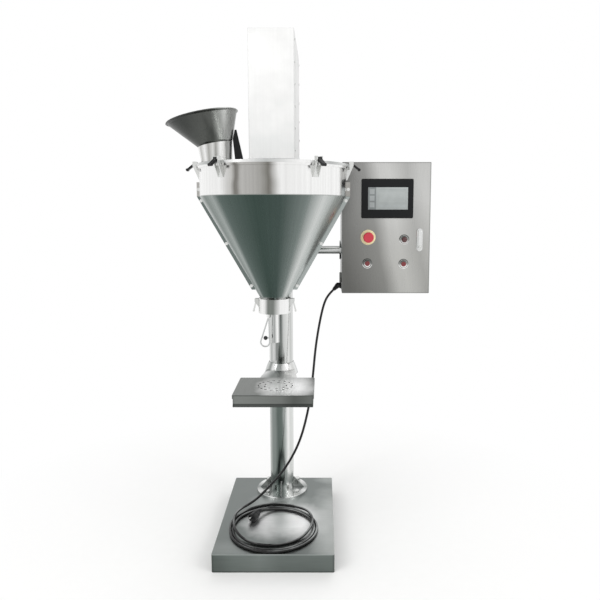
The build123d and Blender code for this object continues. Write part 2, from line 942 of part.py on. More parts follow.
# Collar round the hopper's neck, with ears for its two clamps and for the hanging handle
collar_ear_half = collar_cam_width / 2 + ear_side_gap
collar_ear_outline = [
    (collar_radius - overrun - collar_pivot_radius, -collar_ear_height),
    (collar_radius - overrun - collar_pivot_radius, -collar_ear_margin),
    (collar_radius + running_gap - collar_pivot_radius, collar_ear_margin),
    (collar_ear_margin, collar_ear_margin),
    (collar_ear_margin, -collar_ear_margin),
]
handle_pivot_level = collar_foot - handle_drop
handle_plane = Plane(
    origin=(handle_pivot[0], handle_pivot[1], handle_pivot_level),
    x_dir=(1, 0, 0),
    z_dir=(0, -1, 0),
)
handle_ear_half = handle_hub_width / 2 + running_gap
with BuildPart() as outlet_collar:
    with BuildSketch(Plane.XY.offset(collar_foot)):
        Circle(collar_radius)
    extrude(amount=collar_height)
    for angle in (0, 180):
        pivot_plane = clamp_plane(angle, collar_pivot_radius, collar_pivot_level)
        add(
            clamp_ears(
                pivot_plane,
                collar_ear_outline,
                collar_ear_half,
                collar_ear_thickness,
                collar_pin_dia,
            )
        )
    with BuildSketch(handle_plane):
        with Locations((0, handle_drop / 2)):
            Rectangle(2 * handle_hub_radius, handle_drop)
        Circle(handle_hub_radius)
    extrude(amount=handle_ear_half + handle_ear_thickness, both=True)
    with BuildSketch(handle_plane):
        with Locations((0, handle_drop / 2 - handle_hub_radius)):
            Rectangle(2 * handle_hub_radius + overrun, handle_drop + 2 * handle_hub_radius)
    extrude(amount=handle_ear_half, both=True, mode=Mode.SUBTRACT)
    with BuildSketch(handle_plane):
        Circle(handle_pin_dia / 2)
    extrude(amount=handle_ear_half, both=True)
    with BuildSketch(Plane.XY.offset(neck_foot - slide_gap)):
        Circle(neck_radius + collar_fit)
    extrude(amount=collar_height, mode=Mode.SUBTRACT)
    with BuildSketch(Plane.XY.offset(collar_foot + collar_floor)):
        Circle(tube_flange_radius)
    extrude(amount=collar_height, mode=Mode.SUBTRACT)
    with BuildSketch(Plane.XY.offset(collar_foot)):
        Circle(tube_radius)
    extrude(amount=collar_height, mode=Mode.SUBTRACT)
    slot_foot = collar_tab_level - collar_tab_thickness - slide_gap
    with BuildSketch(Plane.XY.offset(slot_foot)):
        Rectangle(2 * collar_radius + overrun, collar_tab_width + 2 * slide_gap)
    extrude(amount=cone_foot + overrun - slot_foot, mode=Mode.SUBTRACT)
    for angle in (0, 180):
        with BuildSketch(clamp_plane(angle, collar_pivot_radius, collar_pivot_level)):
            Circle(collar_pin_dia / 2)
        extrude(amount=collar_ear_half + collar_ear_thickness, both=True)

outlet_collar.part.label = "outlet_collar"
export_step(outlet_collar.part, "parts/outlet_collar.step")


# Cam levers of the collar
for side, angle in (("right", 0), ("left", 180)):
    collar_lever = cam_lever(
        clamp_plane(angle, collar_pivot_radius, collar_pivot_level),
        collar_cam_radius,
        collar_cam_throw,
        collar_cam_width,
        collar_lever_length,
        collar_lever_thickness,
        collar_lever_tip,
        collar_lever_angle,
        collar_pin_dia,
    )
    collar_lever.label = f"collar_lever_{side}"
    export_step(collar_lever, f"parts/collar_lever_{side}.step")


# Hanging rod handle: a drop-shaped loop with a ball knob on a short stem
loop_centre = (-handle_loop_offset, -handle_length)
reach = sqrt(handle_loop_offset**2 + handle_length**2)
lean = atan2(handle_loop_offset, handle_length)
tangent = atan2(handle_loop_radius, sqrt(reach**2 - handle_loop_radius**2))
leg = sqrt(reach**2 - handle_loop_radius**2)
left_foot = (-leg * sin(lean + tangent), -leg * cos(lean + tangent))
right_foot = (-leg * sin(lean - tangent), -leg * cos(lean - tangent))
loop_bottom = (
    loop_centre[0] - handle_loop_radius * sin(lean),
    loop_centre[1] - handle_loop_radius * cos(lean),
)
with BuildPart() as swing_handle:
    with BuildLine(handle_plane) as loop_path:
        Line((0, 0), left_foot)
        ThreePointArc(left_foot, loop_bottom, right_foot)
        Line(right_foot, (0, 0))
    with BuildSketch(Plane(origin=loop_path.line @ 0, z_dir=loop_path.line % 0)):
        Circle(handle_rod_dia / 2)
    sweep(transition=Transition.ROUND)
    with BuildSketch(handle_plane):
        Circle(handle_hub_radius)
    extrude(amount=handle_hub_width / 2, both=True)
    with BuildSketch(handle_plane):
        Circle(handle_pin_dia / 2 + pin_gap)
    extrude(amount=handle_hub_width, both=True, mode=Mode.SUBTRACT)
    ball_centre = handle_plane.from_local_coords((-handle_ball_offset, -handle_ball_drop, 0))
    with BuildSketch(Plane(origin=ball_centre, x_dir=(1, 0, 0), z_dir=(0, -1, 0))):
        Circle(handle_ball_dia / 2)
        Rectangle(
            handle_ball_dia,
            handle_ball_height,
            align=(Align.MIN, Align.CENTER),
            mode=Mode.INTERSECT,
        )
    revolve(axis=Axis(ball_centre, (0, 0, 1)))
    stem_plane = Plane(origin=ball_centre, x_dir=(0, 1, 0), z_dir=(1, 0, 0))
    stem_length = handle_ball_offset - handle_ball_drop * tan(lean - tangent)
    with BuildSketch(stem_plane):
        Circle(handle_stem_dia / 2)
    extrude(amount=stem_length)

swing_handle.part.label = "swing_handle"
export_step(swing_handle.part, "parts/swing_handle.step")


# Fill tube with its flange, held in the collar
flange_foot = collar_foot + collar_floor
with BuildPart() as fill_tube:
    with BuildSketch(Plane.XY.offset(tube_foot)):
        Circle(tube_radius)
    extrude(amount=flange_foot - tube_foot)
    with BuildSketch(Plane.XY.offset(flange_foot)):
        Circle(tube_flange_radius)
    extrude(amount=tube_flange_thickness)
    with BuildSketch(Plane.XY.offset(tube_foot)):
        Circle(tube_radius - tube_wall)
    extrude(amount=flange_foot + tube_flange_thickness - tube_foot, mode=Mode.SUBTRACT)

fill_tube.part.label = "fill_tube"
export_step(fill_tube.part, "parts/fill_tube.step")


# Narrow nozzle plugged into the fill tube's end
nozzle_bore = nozzle_radius - nozzle_wall
with BuildPart() as fill_nozzle:
    with BuildSketch(Plane.XZ):
        Polygon(
            (nozzle_bore, nozzle_foot),
            (nozzle_radius, nozzle_foot),
            (nozzle_radius, tube_foot - nozzle_lip),
            (tube_radius, tube_foot - nozzle_lip),
            (tube_radius, tube_foot),
            (tube_radius - tube_wall, tube_foot),
            (tube_radius - tube_wall, tube_foot + nozzle_plug_height),
            (nozzle_bore, tube_foot),
            align=None,
        )
    revolve(axis=Axis.Z)

fill_nozzle.part.label = "fill_nozzle"
export_step(fill_nozzle.part, "parts/fill_nozzle.step")


# Auger: a helical flight round its core
auger_foot = tube_foot + nozzle_plug_height + auger_end_gap
auger_top = cone_foot + auger_above_neck
flight_height = auger_top - auger_foot - 2 * auger_flight_thickness - shaft_joint_height
with BuildPart() as auger_screw:
    with BuildSketch(Plane.XY.offset(auger_foot)):
        Circle(auger_core_radius)
    extrude(amount=auger_top - auger_foot)
    chamfer(auger_screw.edges().sort_by(Axis.Z)[0], auger_core_margin)
    with BuildLine(Plane.XY.offset(auger_foot + auger_flight_thickness)):
        Helix(auger_pitch, flight_height, auger_radius)
    with BuildSketch(
        Plane(
            origin=(auger_radius, 0, auger_foot + auger_flight_thickness),
            x_dir=(1, 0, 0),
            z_dir=(0, 1, 0),
        )
    ):
        Rectangle(
            auger_radius - auger_core_radius + auger_core_margin,
            auger_flight_thickness,
            align=(Align.MAX, Align.CENTER),
        )
    sweep(is_frenet=True)

auger_screw.part.label = "auger_screw"
export_step(auger_screw.part, "parts/auger_screw.step")


# Auger shaft: a socket over the auger's core, and a plain shaft up into the motor
with BuildPart() as auger_shaft:
    with BuildSketch(Plane.XY.offset(auger_top - shaft_joint_height)):
        Circle(shaft_joint_radius)
    extrude(amount=2 * shaft_joint_height)
    chamfer(auger_shaft.edges().sort_by(Axis.Z)[-1], shaft_joint_radius - shaft_radius - pin_gap)
    with BuildSketch(Plane.XY.offset(auger_top)):
        Circle(shaft_radius)
    extrude(amount=motor_level + motor_bore_depth / 2 - auger_top)
    with BuildSketch(Plane.XY.offset(auger_top - shaft_joint_height)):
        Circle(auger_core_radius)
    extrude(amount=shaft_joint_height, mode=Mode.SUBTRACT)

auger_shaft.part.label = "auger_shaft"
export_step(auger_shaft.part, "parts/auger_shaft.step")


# Agitator: hollow drive sleeve, hub, and two blades that follow the hopper's wall
arm_foot = barrel_foot + agitator_arm_above_cone
arm_top = arm_foot + agitator_arm_height
blade_foot = cone_foot + agitator_foot_gap + auger_above_neck
blade_outer_top = barrel_radius - hopper_wall - agitator_wall_gap
blade_outer_foot = cone_radius(blade_foot) - hopper_wall - agitator_wall_gap
with BuildPart() as agitator:
    with BuildSketch(Plane.XZ):
        Polygon(
            (0, arm_foot),
            (blade_outer_top - agitator_blade_width, arm_foot),
            (blade_outer_foot - agitator_blade_width, blade_foot),
            (blade_outer_foot, blade_foot),
            (blade_outer_top, barrel_foot),
            (blade_outer_top, arm_top),
            (0, arm_top),
            align=None,
        )
        mirror(about=Plane.YZ)
    extrude(amount=agitator_blade_thickness / 2, both=True)
    with BuildSketch(Plane.XY.offset(arm_foot - (agitator_hub_height - agitator_arm_height) / 2)):
        Circle(agitator_hub_radius)
    extrude(amount=agitator_hub_height)
    with BuildSketch(Plane.XY.offset(arm_foot)):
        Circle(sleeve_radius)
    extrude(amount=sleeve_top - arm_foot)
    with BuildSketch(Plane.XY.offset(blade_foot)):
        Circle(shaft_radius + pin_gap)
    extrude(amount=sleeve_top - blade_foot, mode=Mode.SUBTRACT)

agitator.part.label = "agitator"
export_step(agitator.part, "parts/agitator.step")


# Bearing housing through the head plate and the lid
with BuildPart() as bearing_housing:
    with BuildSketch(Plane.XY.offset(lid_foot)):
        Circle(housing_radius)
    extrude(amount=head_top + housing_rise - lid_foot)
    with BuildSketch(Plane.XY.offset(head_top)):
        Circle(housing_flange_radius)
        with Locations((0, (housing_flange_radius - housing_flange_front) / 2)):
            Rectangle(
                2 * housing_flange_radius,
                housing_flange_radius + housing_flange_front,
                mode=Mode.INTERSECT,
            )
        with PolarLocations(
            (housing_radius + housing_flange_radius) / 2,
            flange_bolt_count,
            start_angle=180 / flange_bolt_count,
        ):
            Circle(housing_bolt_dia / 2, mode=Mode.SUBTRACT)
    extrude(amount=housing_flange_thickness)
    with BuildSketch(Plane.XY.offset(lid_foot + housing_floor)):
        Circle(bearing_radius)
    extrude(amount=head_top + housing_rise - lid_foot, mode=Mode.SUBTRACT)
    with BuildSketch(Plane.XY.offset(lid_foot)):
        Circle(sleeve_radius + seal_gap)
    extrude(amount=housing_floor, mode=Mode.SUBTRACT)

bearing_housing.part.label = "bearing_housing"
export_step(bearing_housing.part, "parts/bearing_housing.step")


# Two ball bearings of the agitator's sleeve, as plain rings
bearing_levels = [lid_foot + housing_floor, head_top + housing_rise - bearing_height]
with BuildPart() as head_bearings:
    for level in bearing_levels:
        with BuildSketch(Plane.XY.offset(level)):
            Circle(bearing_radius)
            Circle(sleeve_radius + pin_gap, mode=Mode.SUBTRACT)
        extrude(amount=bearing_height)

head_bearings.part.label = "head_bearings"
export_step(head_bearings.part, "parts/head_bearings.step")


def belt_pulley(centre_y, radius, teeth, bore):
    """Toothed pulley with a flange above and below."""
    tooth_half = radius * radians(360 / teeth) / 4
    with BuildPart() as pulley:
        with BuildSketch(Plane.XY.offset(pulley_foot)):
            with Locations((0, centre_y)):
                Circle(radius)
                with PolarLocations(radius, teeth):
                    Rectangle(2 * pulley_tooth_depth, 2 * tooth_half, mode=Mode.SUBTRACT)
        extrude(amount=pulley_height)
        for level in (pulley_foot, pulley_foot + pulley_height - pulley_flange):
            with BuildSketch(Plane.XY.offset(level)):
                with Locations((0, centre_y)):
                    Circle(radius + pulley_flange_reach)
            extrude(amount=pulley_flange)
        with BuildSketch(Plane.XY.offset(pulley_foot)):
            with Locations((0, centre_y)):
                Circle(bore)
        extrude(amount=pulley_height, mode=Mode.SUBTRACT)
    return pulley.part


# Large pulley on the agitator's sleeve
driven_pulley = belt_pulley(0, driven_pulley_radius, driven_tooth_count, sleeve_radius)
driven_pulley.label = "driven_pulley"
export_step(driven_pulley, "parts/driven_pulley.step")


# Small pulley with its shaft, below the agitator's motor
with BuildPart() as drive_pulley:
    add(belt_pulley(pulley_centres, drive_pulley_radius, drive_tooth_count, drive_shaft_radius / 2))
    with BuildSketch(Plane.XY.offset(pulley_foot)):
        with Locations((0, pulley_centres)):
            Circle(drive_shaft_radius)
    extrude(amount=motor_level + motor_bore_depth / 2 - pulley_foot)

drive_pulley.part.label = "drive_pulley"
export_step(drive_pulley.part, "parts/drive_pulley.step")


# Belt round both pulleys, running between their flanges
belt_foot = pulley_foot + pulley_flange + belt_side_gap
belt_width = pulley_height - 2 * pulley_flange - 2 * belt_side_gap
with BuildPart() as timing_belt:
    with BuildSketch(Plane.XY.offset(belt_foot)) as belt_outer:
        with BuildLine():
            CenterArc((0, 0), driven_pulley_radius + running_gap + belt_thickness, 0, 360)
            CenterArc(
                (0, pulley_centres),
                drive_pulley_radius + running_gap + belt_thickness,
                0,
                360,
            )
        make_hull()
    extrude(amount=belt_width)
    with BuildSketch(Plane.XY.offset(belt_foot)) as belt_inner:
        with BuildLine():
            CenterArc((0, 0), driven_pulley_radius + running_gap, 0, 360)
            CenterArc((0, pulley_centres), drive_pulley_radius + running_gap, 0, 360)
        make_hull()
    extrude(amount=belt_width, mode=Mode.SUBTRACT)

timing_belt.part.label = "timing_belt"
export_step(timing_belt.part, "parts/timing_belt.step")


# Plate for both motors, on four posts from the head plate
post_x = motor_plate_width / 2 - post_inset
post_front = post_inset - motor_plate_front_reach
post_back = motor_plate_depth - motor_plate_front_reach - post_inset
post_places = [(side * post_x, y) for side in (-1, 1) for y in (post_front, post_back)]
with BuildPart() as motor_plate:
    with BuildSketch(Plane.XY.offset(motor_plate_foot)):
        with Locations((0, motor_plate_depth / 2 - motor_plate_front_reach)):
            RectangleRounded(motor_plate_width, motor_plate_depth, head_corner)
    extrude(amount=motor_plate_thickness)
    with BuildSketch(Plane.XY.offset(head_top)):
        with Locations(*post_places):
            Circle(post_radius)
    extrude(amount=motor_plate_rise)
    with BuildSketch(Plane.XY.offset(motor_plate_foot)):
        with Locations((0, 0), (0, pulley_centres)):
            Circle(shaft_joint_radius)
    extrude(amount=motor_plate_thickness, mode=Mode.SUBTRACT)

motor_plate.part.label = "motor_plate"
export_step(motor_plate.part, "parts/motor_plate.step")


# Coupling between the auger's shaft and its motor
coupling_foot = motor_plate_foot - coupling_gap - coupling_height
with BuildPart() as shaft_coupling:
    with BuildSketch(Plane.XY.offset(coupling_foot)):
        Circle(coupling_radius)
        Circle(shaft_radius, mode=Mode.SUBTRACT)
    extrude(amount=coupling_height)
    with BuildSketch(Plane.XY.offset(coupling_foot + coupling_height / 2)):
        Circle(coupling_radius)
        Circle(coupling_radius - coupling_slot, mode=Mode.SUBTRACT)
    extrude(amount=coupling_slot, both=True, mode=Mode.SUBTRACT)

shaft_coupling.part.label = "shaft_coupling"
export_step(shaft_coupling.part, "parts/shaft_coupling.step")


# Servo motor of the auger
with BuildPart() as servo_motor:
    with BuildSketch(Plane.XY.offset(motor_level)):
        RectangleRounded(servo_flange_width, servo_flange_width, servo_corner)
    extrude(amount=servo_flange_thickness)
    with BuildSketch(Plane.XY.offset(motor_level + servo_flange_thickness)):
        RectangleRounded(servo_body_width, servo_body_width, servo_corner)
    extrude(amount=servo_length)
    with BuildSketch(Plane.XY.offset(motor_level + servo_flange_thickness + servo_length)):
        RectangleRounded(servo_cap_width, servo_cap_width, servo_corner)
    extrude(amount=servo_cap_length)
    with BuildSketch(Plane.XY.offset(motor_level)):
        Circle(shaft_radius + pin_gap)
    extrude(amount=motor_bore_depth, mode=Mode.SUBTRACT)

servo_motor.part.label = "servo_motor"
export_step(servo_motor.part, "parts/servo_motor.step")


# Geared motor of the agitator
with BuildPart() as agitator_motor:
    with BuildSketch(Plane.XY.offset(motor_level)):
        with Locations((0, pulley_centres)):
            RectangleRounded(gearbox_side, gearbox_side, servo_corner)
    extrude(amount=gearbox_length)
    with BuildSketch(Plane.XY.offset(motor_level + gearbox_length)):
        with Locations((0, pulley_centres)):
            Circle(agitator_motor_radius)
    extrude(amount=agitator_motor_length)
    with BuildSketch(Plane.XY.offset(motor_level + gearbox_length + agitator_motor_length)):
        with Locations((0, pulley_centres)):
            Circle(fan_cover_radius)
    extrude(amount=fan_cover_length)
    fillet(agitator_motor.faces().sort_by(Axis.Z)[-1].edges(), fan_cover_length * edge_share)
    with BuildSketch(Plane.XY.offset(motor_level)):
        with Locations((0, pulley_centres)):
            Circle(drive_shaft_radius + pin_gap)
    extrude(amount=motor_bore_depth, mode=Mode.SUBTRACT)

agitator_motor.part.label = "agitator_motor"
export_step(agitator_motor.part, "parts/agitator_motor.step")


# Tall sheet cover over the motors, standing on the head plate
cover_mid = cover_depth / 2 - cover_front_reach
with BuildPart() as motor_cover:
    with BuildSketch(Plane.XY.offset(head_top)):
        with Locations((0, cover_mid)):
            RectangleRounded(cover_width, cover_depth, cover_corner)
    extrude(amount=cover_height)
    fillet(motor_cover.faces().sort_by(Axis.Z)[-1].edges(), cover_corner / 2)
    with BuildSketch(Plane.XY.offset(head_top)):
        with Locations((0, cover_mid)):
            Rectangle(cover_width - 2 * cover_sheet, cover_depth - 2 * cover_sheet)
    extrude(amount=cover_height - cover_sheet, mode=Mode.SUBTRACT)

motor_cover.part.label = "motor_cover"
export_step(motor_cover.part, "parts/motor_cover.step")


# Bracket that carries the tray: a split sleeve on the column, a top plate, a floor and two ribs
sleeve_foot = tray_seat - sleeve_height
sleeve_outer = column_radius + running_gap + sleeve_wall
floor_foot = pan_foot - bracket_floor_thickness
ear_half = sleeve_split / 2 + clamp_ear_thickness
stud_level = tray_seat - sleeve_height / 2
stud_y = column_set_back + sleeve_outer + clamp_ear_reach - clamp_stud_inset
lever_place = ear_half + clamp_lever_gap
washer_place = lever_place + clamp_lever_thickness + clamp_lever_gap
with BuildPart() as tray_bracket:
    with BuildSketch(Plane.XY.offset(sleeve_foot)):
        with Locations((0, column_set_back)):
            Circle(sleeve_outer)
    extrude(amount=sleeve_height)
    with BuildSketch(Plane.XY.offset(stud_level - clamp_ear_height / 2)):
        with Locations((0, column_set_back + sleeve_outer + (clamp_ear_reach - sleeve_wall) / 2)):
            Rectangle(2 * ear_half, clamp_ear_reach + sleeve_wall)
    extrude(amount=clamp_ear_height)
    with BuildSketch(Plane.XY.offset(tray_seat)):
        Polygon(
            (-bracket_tray_half, tray_back),
            (bracket_tray_half, tray_back),
            (bracket_column_half, column_set_back),
            (-bracket_column_half, column_set_back),
            align=None,
        )
    extrude(amount=-bracket_top_thickness)
    with BuildSketch(Plane.XY.offset(floor_foot)):
        Polygon(
            (-bracket_floor_half, -bracket_floor_reach),
            (bracket_floor_half, -bracket_floor_reach),
            (bracket_floor_half, tray_back),
            (bracket_column_half, column_set_back),
            (-bracket_column_half, column_set_back),
            (-bracket_floor_half, tray_back),
            align=None,
        )
    extrude(amount=bracket_floor_thickness)
    for side in (-1, 1):
        with BuildSketch(Plane.YZ.offset(side * bracket_rib_offset)):
            Polygon(
                (-bracket_floor_reach, floor_foot),
                (column_set_back, sleeve_foot),
                (column_set_back, tray_seat - bracket_top_thickness),
                (tray_back, tray_seat - bracket_top_thickness),
                (tray_back, pan_foot),
                (-bracket_floor_reach, pan_foot),
                align=None,
            )
        extrude(amount=bracket_rib_thickness / 2, both=True)
    with BuildSketch(Plane.XY.offset(sleeve_foot)):
        with Locations((0, column_set_back)):
            Circle(column_radius + running_gap)
        with Locations((0, column_set_back + (sleeve_outer + clamp_ear_reach) / 2)):
            Rectangle(sleeve_split, sleeve_outer + clamp_ear_reach)
    extrude(amount=sleeve_height, mode=Mode.SUBTRACT)
    with BuildSketch(Plane.YZ.offset(-ear_half)):
        with Locations((stud_y, stud_level)):
            RegularPolygon(clamp_head_across / 2, 6, major_radius=False)
    extrude(amount=-clamp_head_height)
    with BuildSketch(Plane.YZ.offset(-ear_half)):
        with Locations((stud_y, stud_level)):
            Circle(clamp_stud_dia / 2)
    extrude(amount=ear_half + washer_place + clamp_washer_thickness)
    with BuildSketch(Plane.YZ.offset(washer_place)):
        with Locations((stud_y, stud_level)):
            Circle(clamp_washer_radius)
    extrude(amount=clamp_washer_thickness)

tray_bracket.part.label = "tray_bracket"
export_step(tray_bracket.part, "parts/tray_bracket.step")


# Lever that tightens the tray's sleeve, hanging down from its stud
with BuildPart() as tray_clamp_lever:
    with BuildSketch(Plane.YZ.offset(lever_place)):
        with BuildLine():
            CenterArc((stud_y, stud_level), clamp_lever_hub_radius, 0, 360)
            CenterArc((stud_y, stud_level - clamp_lever_length), clamp_lever_tip_radius, 0, 360)
        make_hull()
        with Locations((stud_y, stud_level)):
            Circle(clamp_stud_dia / 2 + pin_gap, mode=Mode.SUBTRACT)
    extrude(amount=clamp_lever_thickness)

tray_clamp_lever.part.label = "tray_clamp_lever"
export_step(tray_clamp_lever.part, "parts/tray_clamp_lever.step")


# Catch pan below the tray plate, open at the top
pan_width = tray_width - 2 * (tray_sheet + pan_side_gap)
pan_depth = tray_depth - 2 * (tray_sheet + pan_side_gap)
with BuildPart() as tray_pan:
    with BuildSketch(Plane.XY.offset(pan_foot)):
        with Locations((0, tray_mid)):
            RectangleRounded(pan_width, pan_depth, tray_corner - tray_sheet)
    extrude(amount=pan_height)
    with BuildSketch(Plane.XY.offset(pan_foot + pan_wall)):
        with Locations((0, tray_mid)):
            Rectangle(pan_width - 2 * pan_wall, pan_depth - 2 * pan_wall)
    extrude(amount=pan_height, mode=Mode.SUBTRACT)

tray_pan.part.label = "tray_pan"
export_step(tray_pan.part, "parts/tray_pan.step")


# Tray plate with its folded lip and two rings of slots below the nozzle; it lifts off the pan
with BuildPart() as tray_plate:
    with BuildSketch(Plane.XY.offset(tray_seat)):
        with Locations((0, tray_mid)):
            RectangleRounded(tray_width, tray_depth, tray_corner)
    extrude(amount=tray_lip)
    fillet(tray_plate.faces().sort_by(Axis.Z)[-1].edges(), tray_sheet)
    with BuildSketch(Plane.XY.offset(tray_seat)):
        with Locations((0, tray_mid)):
            RectangleRounded(
                tray_width - 2 * tray_sheet, tray_depth - 2 * tray_sheet, tray_corner - tray_sheet
            )
    extrude(amount=tray_lip - tray_sheet, mode=Mode.SUBTRACT)
    with BuildSketch(Plane.XY.offset(tray_level)):
        with PolarLocations(tray_ring_radius, tray_slot_count):
            SlotOverall(tray_slot_length, tray_slot_width, rotation=90)
        with PolarLocations(tray_inner_ring_radius, tray_inner_slot_count):
            SlotOverall(tray_slot_length, tray_slot_width, rotation=90)
    extrude(amount=-tray_sheet, mode=Mode.SUBTRACT)

tray_plate.part.label = "tray_plate"
export_step(tray_plate.part, "parts/tray_plate.step")


# Split clamp on the column, with the arm's socket and two bolts
clamp_outer = column_radius + arm_clamp_wall
clamp_ear_half = arm_clamp_split / 2 + arm_clamp_ear_thickness
socket_foot = arm_socket_reach - arm_socket_depth
with BuildPart() as arm_clamp:
    with BuildSketch(Plane.XY.offset(arm_level - arm_clamp_height / 2)):
        with Locations((0, column_set_back)):
            Circle(clamp_outer)
        with Locations((-(clamp_outer + arm_clamp_ear_reach) / 2, column_set_back)):
            Rectangle(clamp_outer + arm_clamp_ear_reach, 2 * clamp_ear_half)
    extrude(amount=arm_clamp_height)
    with BuildSketch(Plane.YZ):
        with Locations((column_set_back, arm_level)):
            Circle(arm_socket_radius)
    extrude(amount=arm_socket_reach)
    with BuildSketch(Plane.YZ.offset(socket_foot)):
        with Locations((column_set_back, arm_level)):
            Circle(arm_radius + pin_gap)
    extrude(amount=arm_socket_depth, mode=Mode.SUBTRACT)
    with BuildSketch(Plane.XY.offset(arm_level - arm_clamp_height / 2)):
        with Locations((0, column_set_back)):
            Circle(column_radius + pin_gap)
        with Locations((-(clamp_outer + arm_clamp_ear_reach) / 2, column_set_back)):
            Rectangle(clamp_outer + arm_clamp_ear_reach, arm_clamp_split)
    extrude(amount=arm_clamp_height, mode=Mode.SUBTRACT)
    arm_bolt_places = [
        (-clamp_outer - arm_bolt_inset, arm_level + side * arm_bolt_offset) for side in (-1, 1)
    ]
    with BuildSketch(Plane.XZ.offset(-column_set_back)):
        with Locations(*arm_bolt_places):
            Circle(arm_bolt_dia / 2)
    extrude(amount=clamp_ear_half, both=True)
    with BuildSketch(Plane.XZ.offset(-column_set_back + clamp_ear_half)):
        with Locations(*arm_bolt_places):
            RegularPolygon(arm_bolt_head / 2, 6, major_radius=False)
    extrude(amount=arm_bolt_head_height)

arm_clamp.part.label = "arm_clamp"
export_step(arm_clamp.part, "parts/arm_clamp.step")


# Arm from the clamp to the control box, with the cable's way inside
arm_end = box_left - arm_flange_thickness
with BuildPart() as arm_tube:
    with BuildSketch(Plane.YZ.offset(socket_foot)):
        with Locations((column_set_back, arm_level)):
            Circle(arm_radius)
    extrude(amount=box_left - socket_foot)
    with BuildSketch(Plane.YZ.offset(arm_end)):
        with Locations((column_set_back, arm_level)):
            Circle(arm_flange_radius)
    extrude(amount=arm_flange_thickness)
    with BuildSketch(Plane.YZ.offset(socket_foot)):
        with Locations((column_set_back, arm_level)):
            Circle(arm_radius - arm_wall)
    extrude(amount=box_left - socket_foot, mode=Mode.SUBTRACT)

arm_tube.part.label = "arm_tube"
export_step(arm_tube.part, "parts/arm_tube.step")


# Sheet shell of the control box, open at the front inside a narrow lip, with its hinge halves
hinge_levels = (box_foot + hinge_inset, box_foot + box_height - hinge_inset)
with BuildPart() as box_shell:
    with BuildSketch(Plane.XZ.offset(-shell_front)):
        with Locations((box_mid_x, box_mid_z)):
            RectangleRounded(box_width, box_height, box_corner)
    extrude(amount=-shell_depth)
    with BuildSketch(Plane.XZ.offset(-shell_front - box_sheet)):
        with Locations((box_mid_x, box_mid_z)):
            Rectangle(box_width - 2 * box_sheet, box_height - 2 * box_sheet)
    extrude(amount=-shell_depth + 2 * box_sheet, mode=Mode.SUBTRACT)
    with BuildSketch(Plane.XZ.offset(-shell_front)):
        with Locations((box_mid_x, box_mid_z)):
            Rectangle(box_width - 2 * box_lip, box_height - 2 * box_lip)
    extrude(amount=-box_sheet, mode=Mode.SUBTRACT)
    for level in hinge_levels:
        with BuildSketch(Plane.XY.offset(level - hinge_height / 2)):
            with Locations((hinge_x, hinge_y)):
                Circle(hinge_radius)
            with Locations((hinge_x, shell_front)):
                Rectangle(hinge_offset + box_sheet, hinge_leaf, align=(Align.MIN, Align.MIN))
        extrude(amount=hinge_height / 2 - slide_gap)
        with BuildSketch(Plane.XY.offset(level - hinge_height / 2)):
            with Locations((hinge_x, hinge_y)):
                Circle(hinge_pin_dia / 2)
        extrude(amount=hinge_height)

box_shell.part.label = "box_shell"
export_step(box_shell.part, "parts/box_shell.step")


# Mounting plate inside the box, on four posts
plate_front = box_back - box_sheet - mounting_stand - mounting_plate_thickness
plate_width = box_width - 2 * mounting_plate_inset
plate_height = box_height - 2 * mounting_plate_inset
with BuildPart() as mounting_plate:
    with BuildSketch(Plane.XZ.offset(-plate_front)):
        with Locations((box_mid_x, box_mid_z)):
            Rectangle(plate_width, plate_height)
    extrude(amount=-mounting_plate_thickness)
    with BuildSketch(Plane.XZ.offset(-plate_front)):
        with Locations((box_mid_x, box_mid_z)):
            with GridLocations(
                plate_width - 2 * mounting_post_inset, plate_height - 2 * mounting_post_inset, 2, 2
            ):
                Circle(mounting_post_dia / 2)
    extrude(amount=-mounting_plate_thickness - mounting_stand)

mounting_plate.part.label = "mounting_plate"
export_step(mounting_plate.part, "parts/mounting_plate.step")


# Drive, controller and breakers on the mounting plate
plate_left = box_mid_x - plate_width / 2
plate_foot = box_mid_z - plate_height / 2
module_top = plate_foot + plate_height - module_margin
with BuildPart() as control_modules:
    with BuildSketch(Plane.XZ.offset(-plate_front)):
        with Locations((plate_left + module_margin, module_top)):
            Rectangle(drive_module_width, drive_module_height, align=(Align.MIN, Align.MAX))
        with Locations((plate_left + plate_width - module_margin, module_top)):
            Rectangle(controller_width, controller_height, align=(Align.MAX, Align.MAX))
        with Locations((plate_left + module_margin, plate_foot + module_margin)):
            Rectangle(breaker_width, breaker_height, align=(Align.MIN, Align.MIN))
    extrude(amount=module_depth)
    chamfer(control_modules.faces().filter_by(Plane.XZ).group_by(Axis.Y)[0].edges(), module_edge)

control_modules.part.label = "control_modules"
export_step(control_modules.part, "parts/control_modules.step")


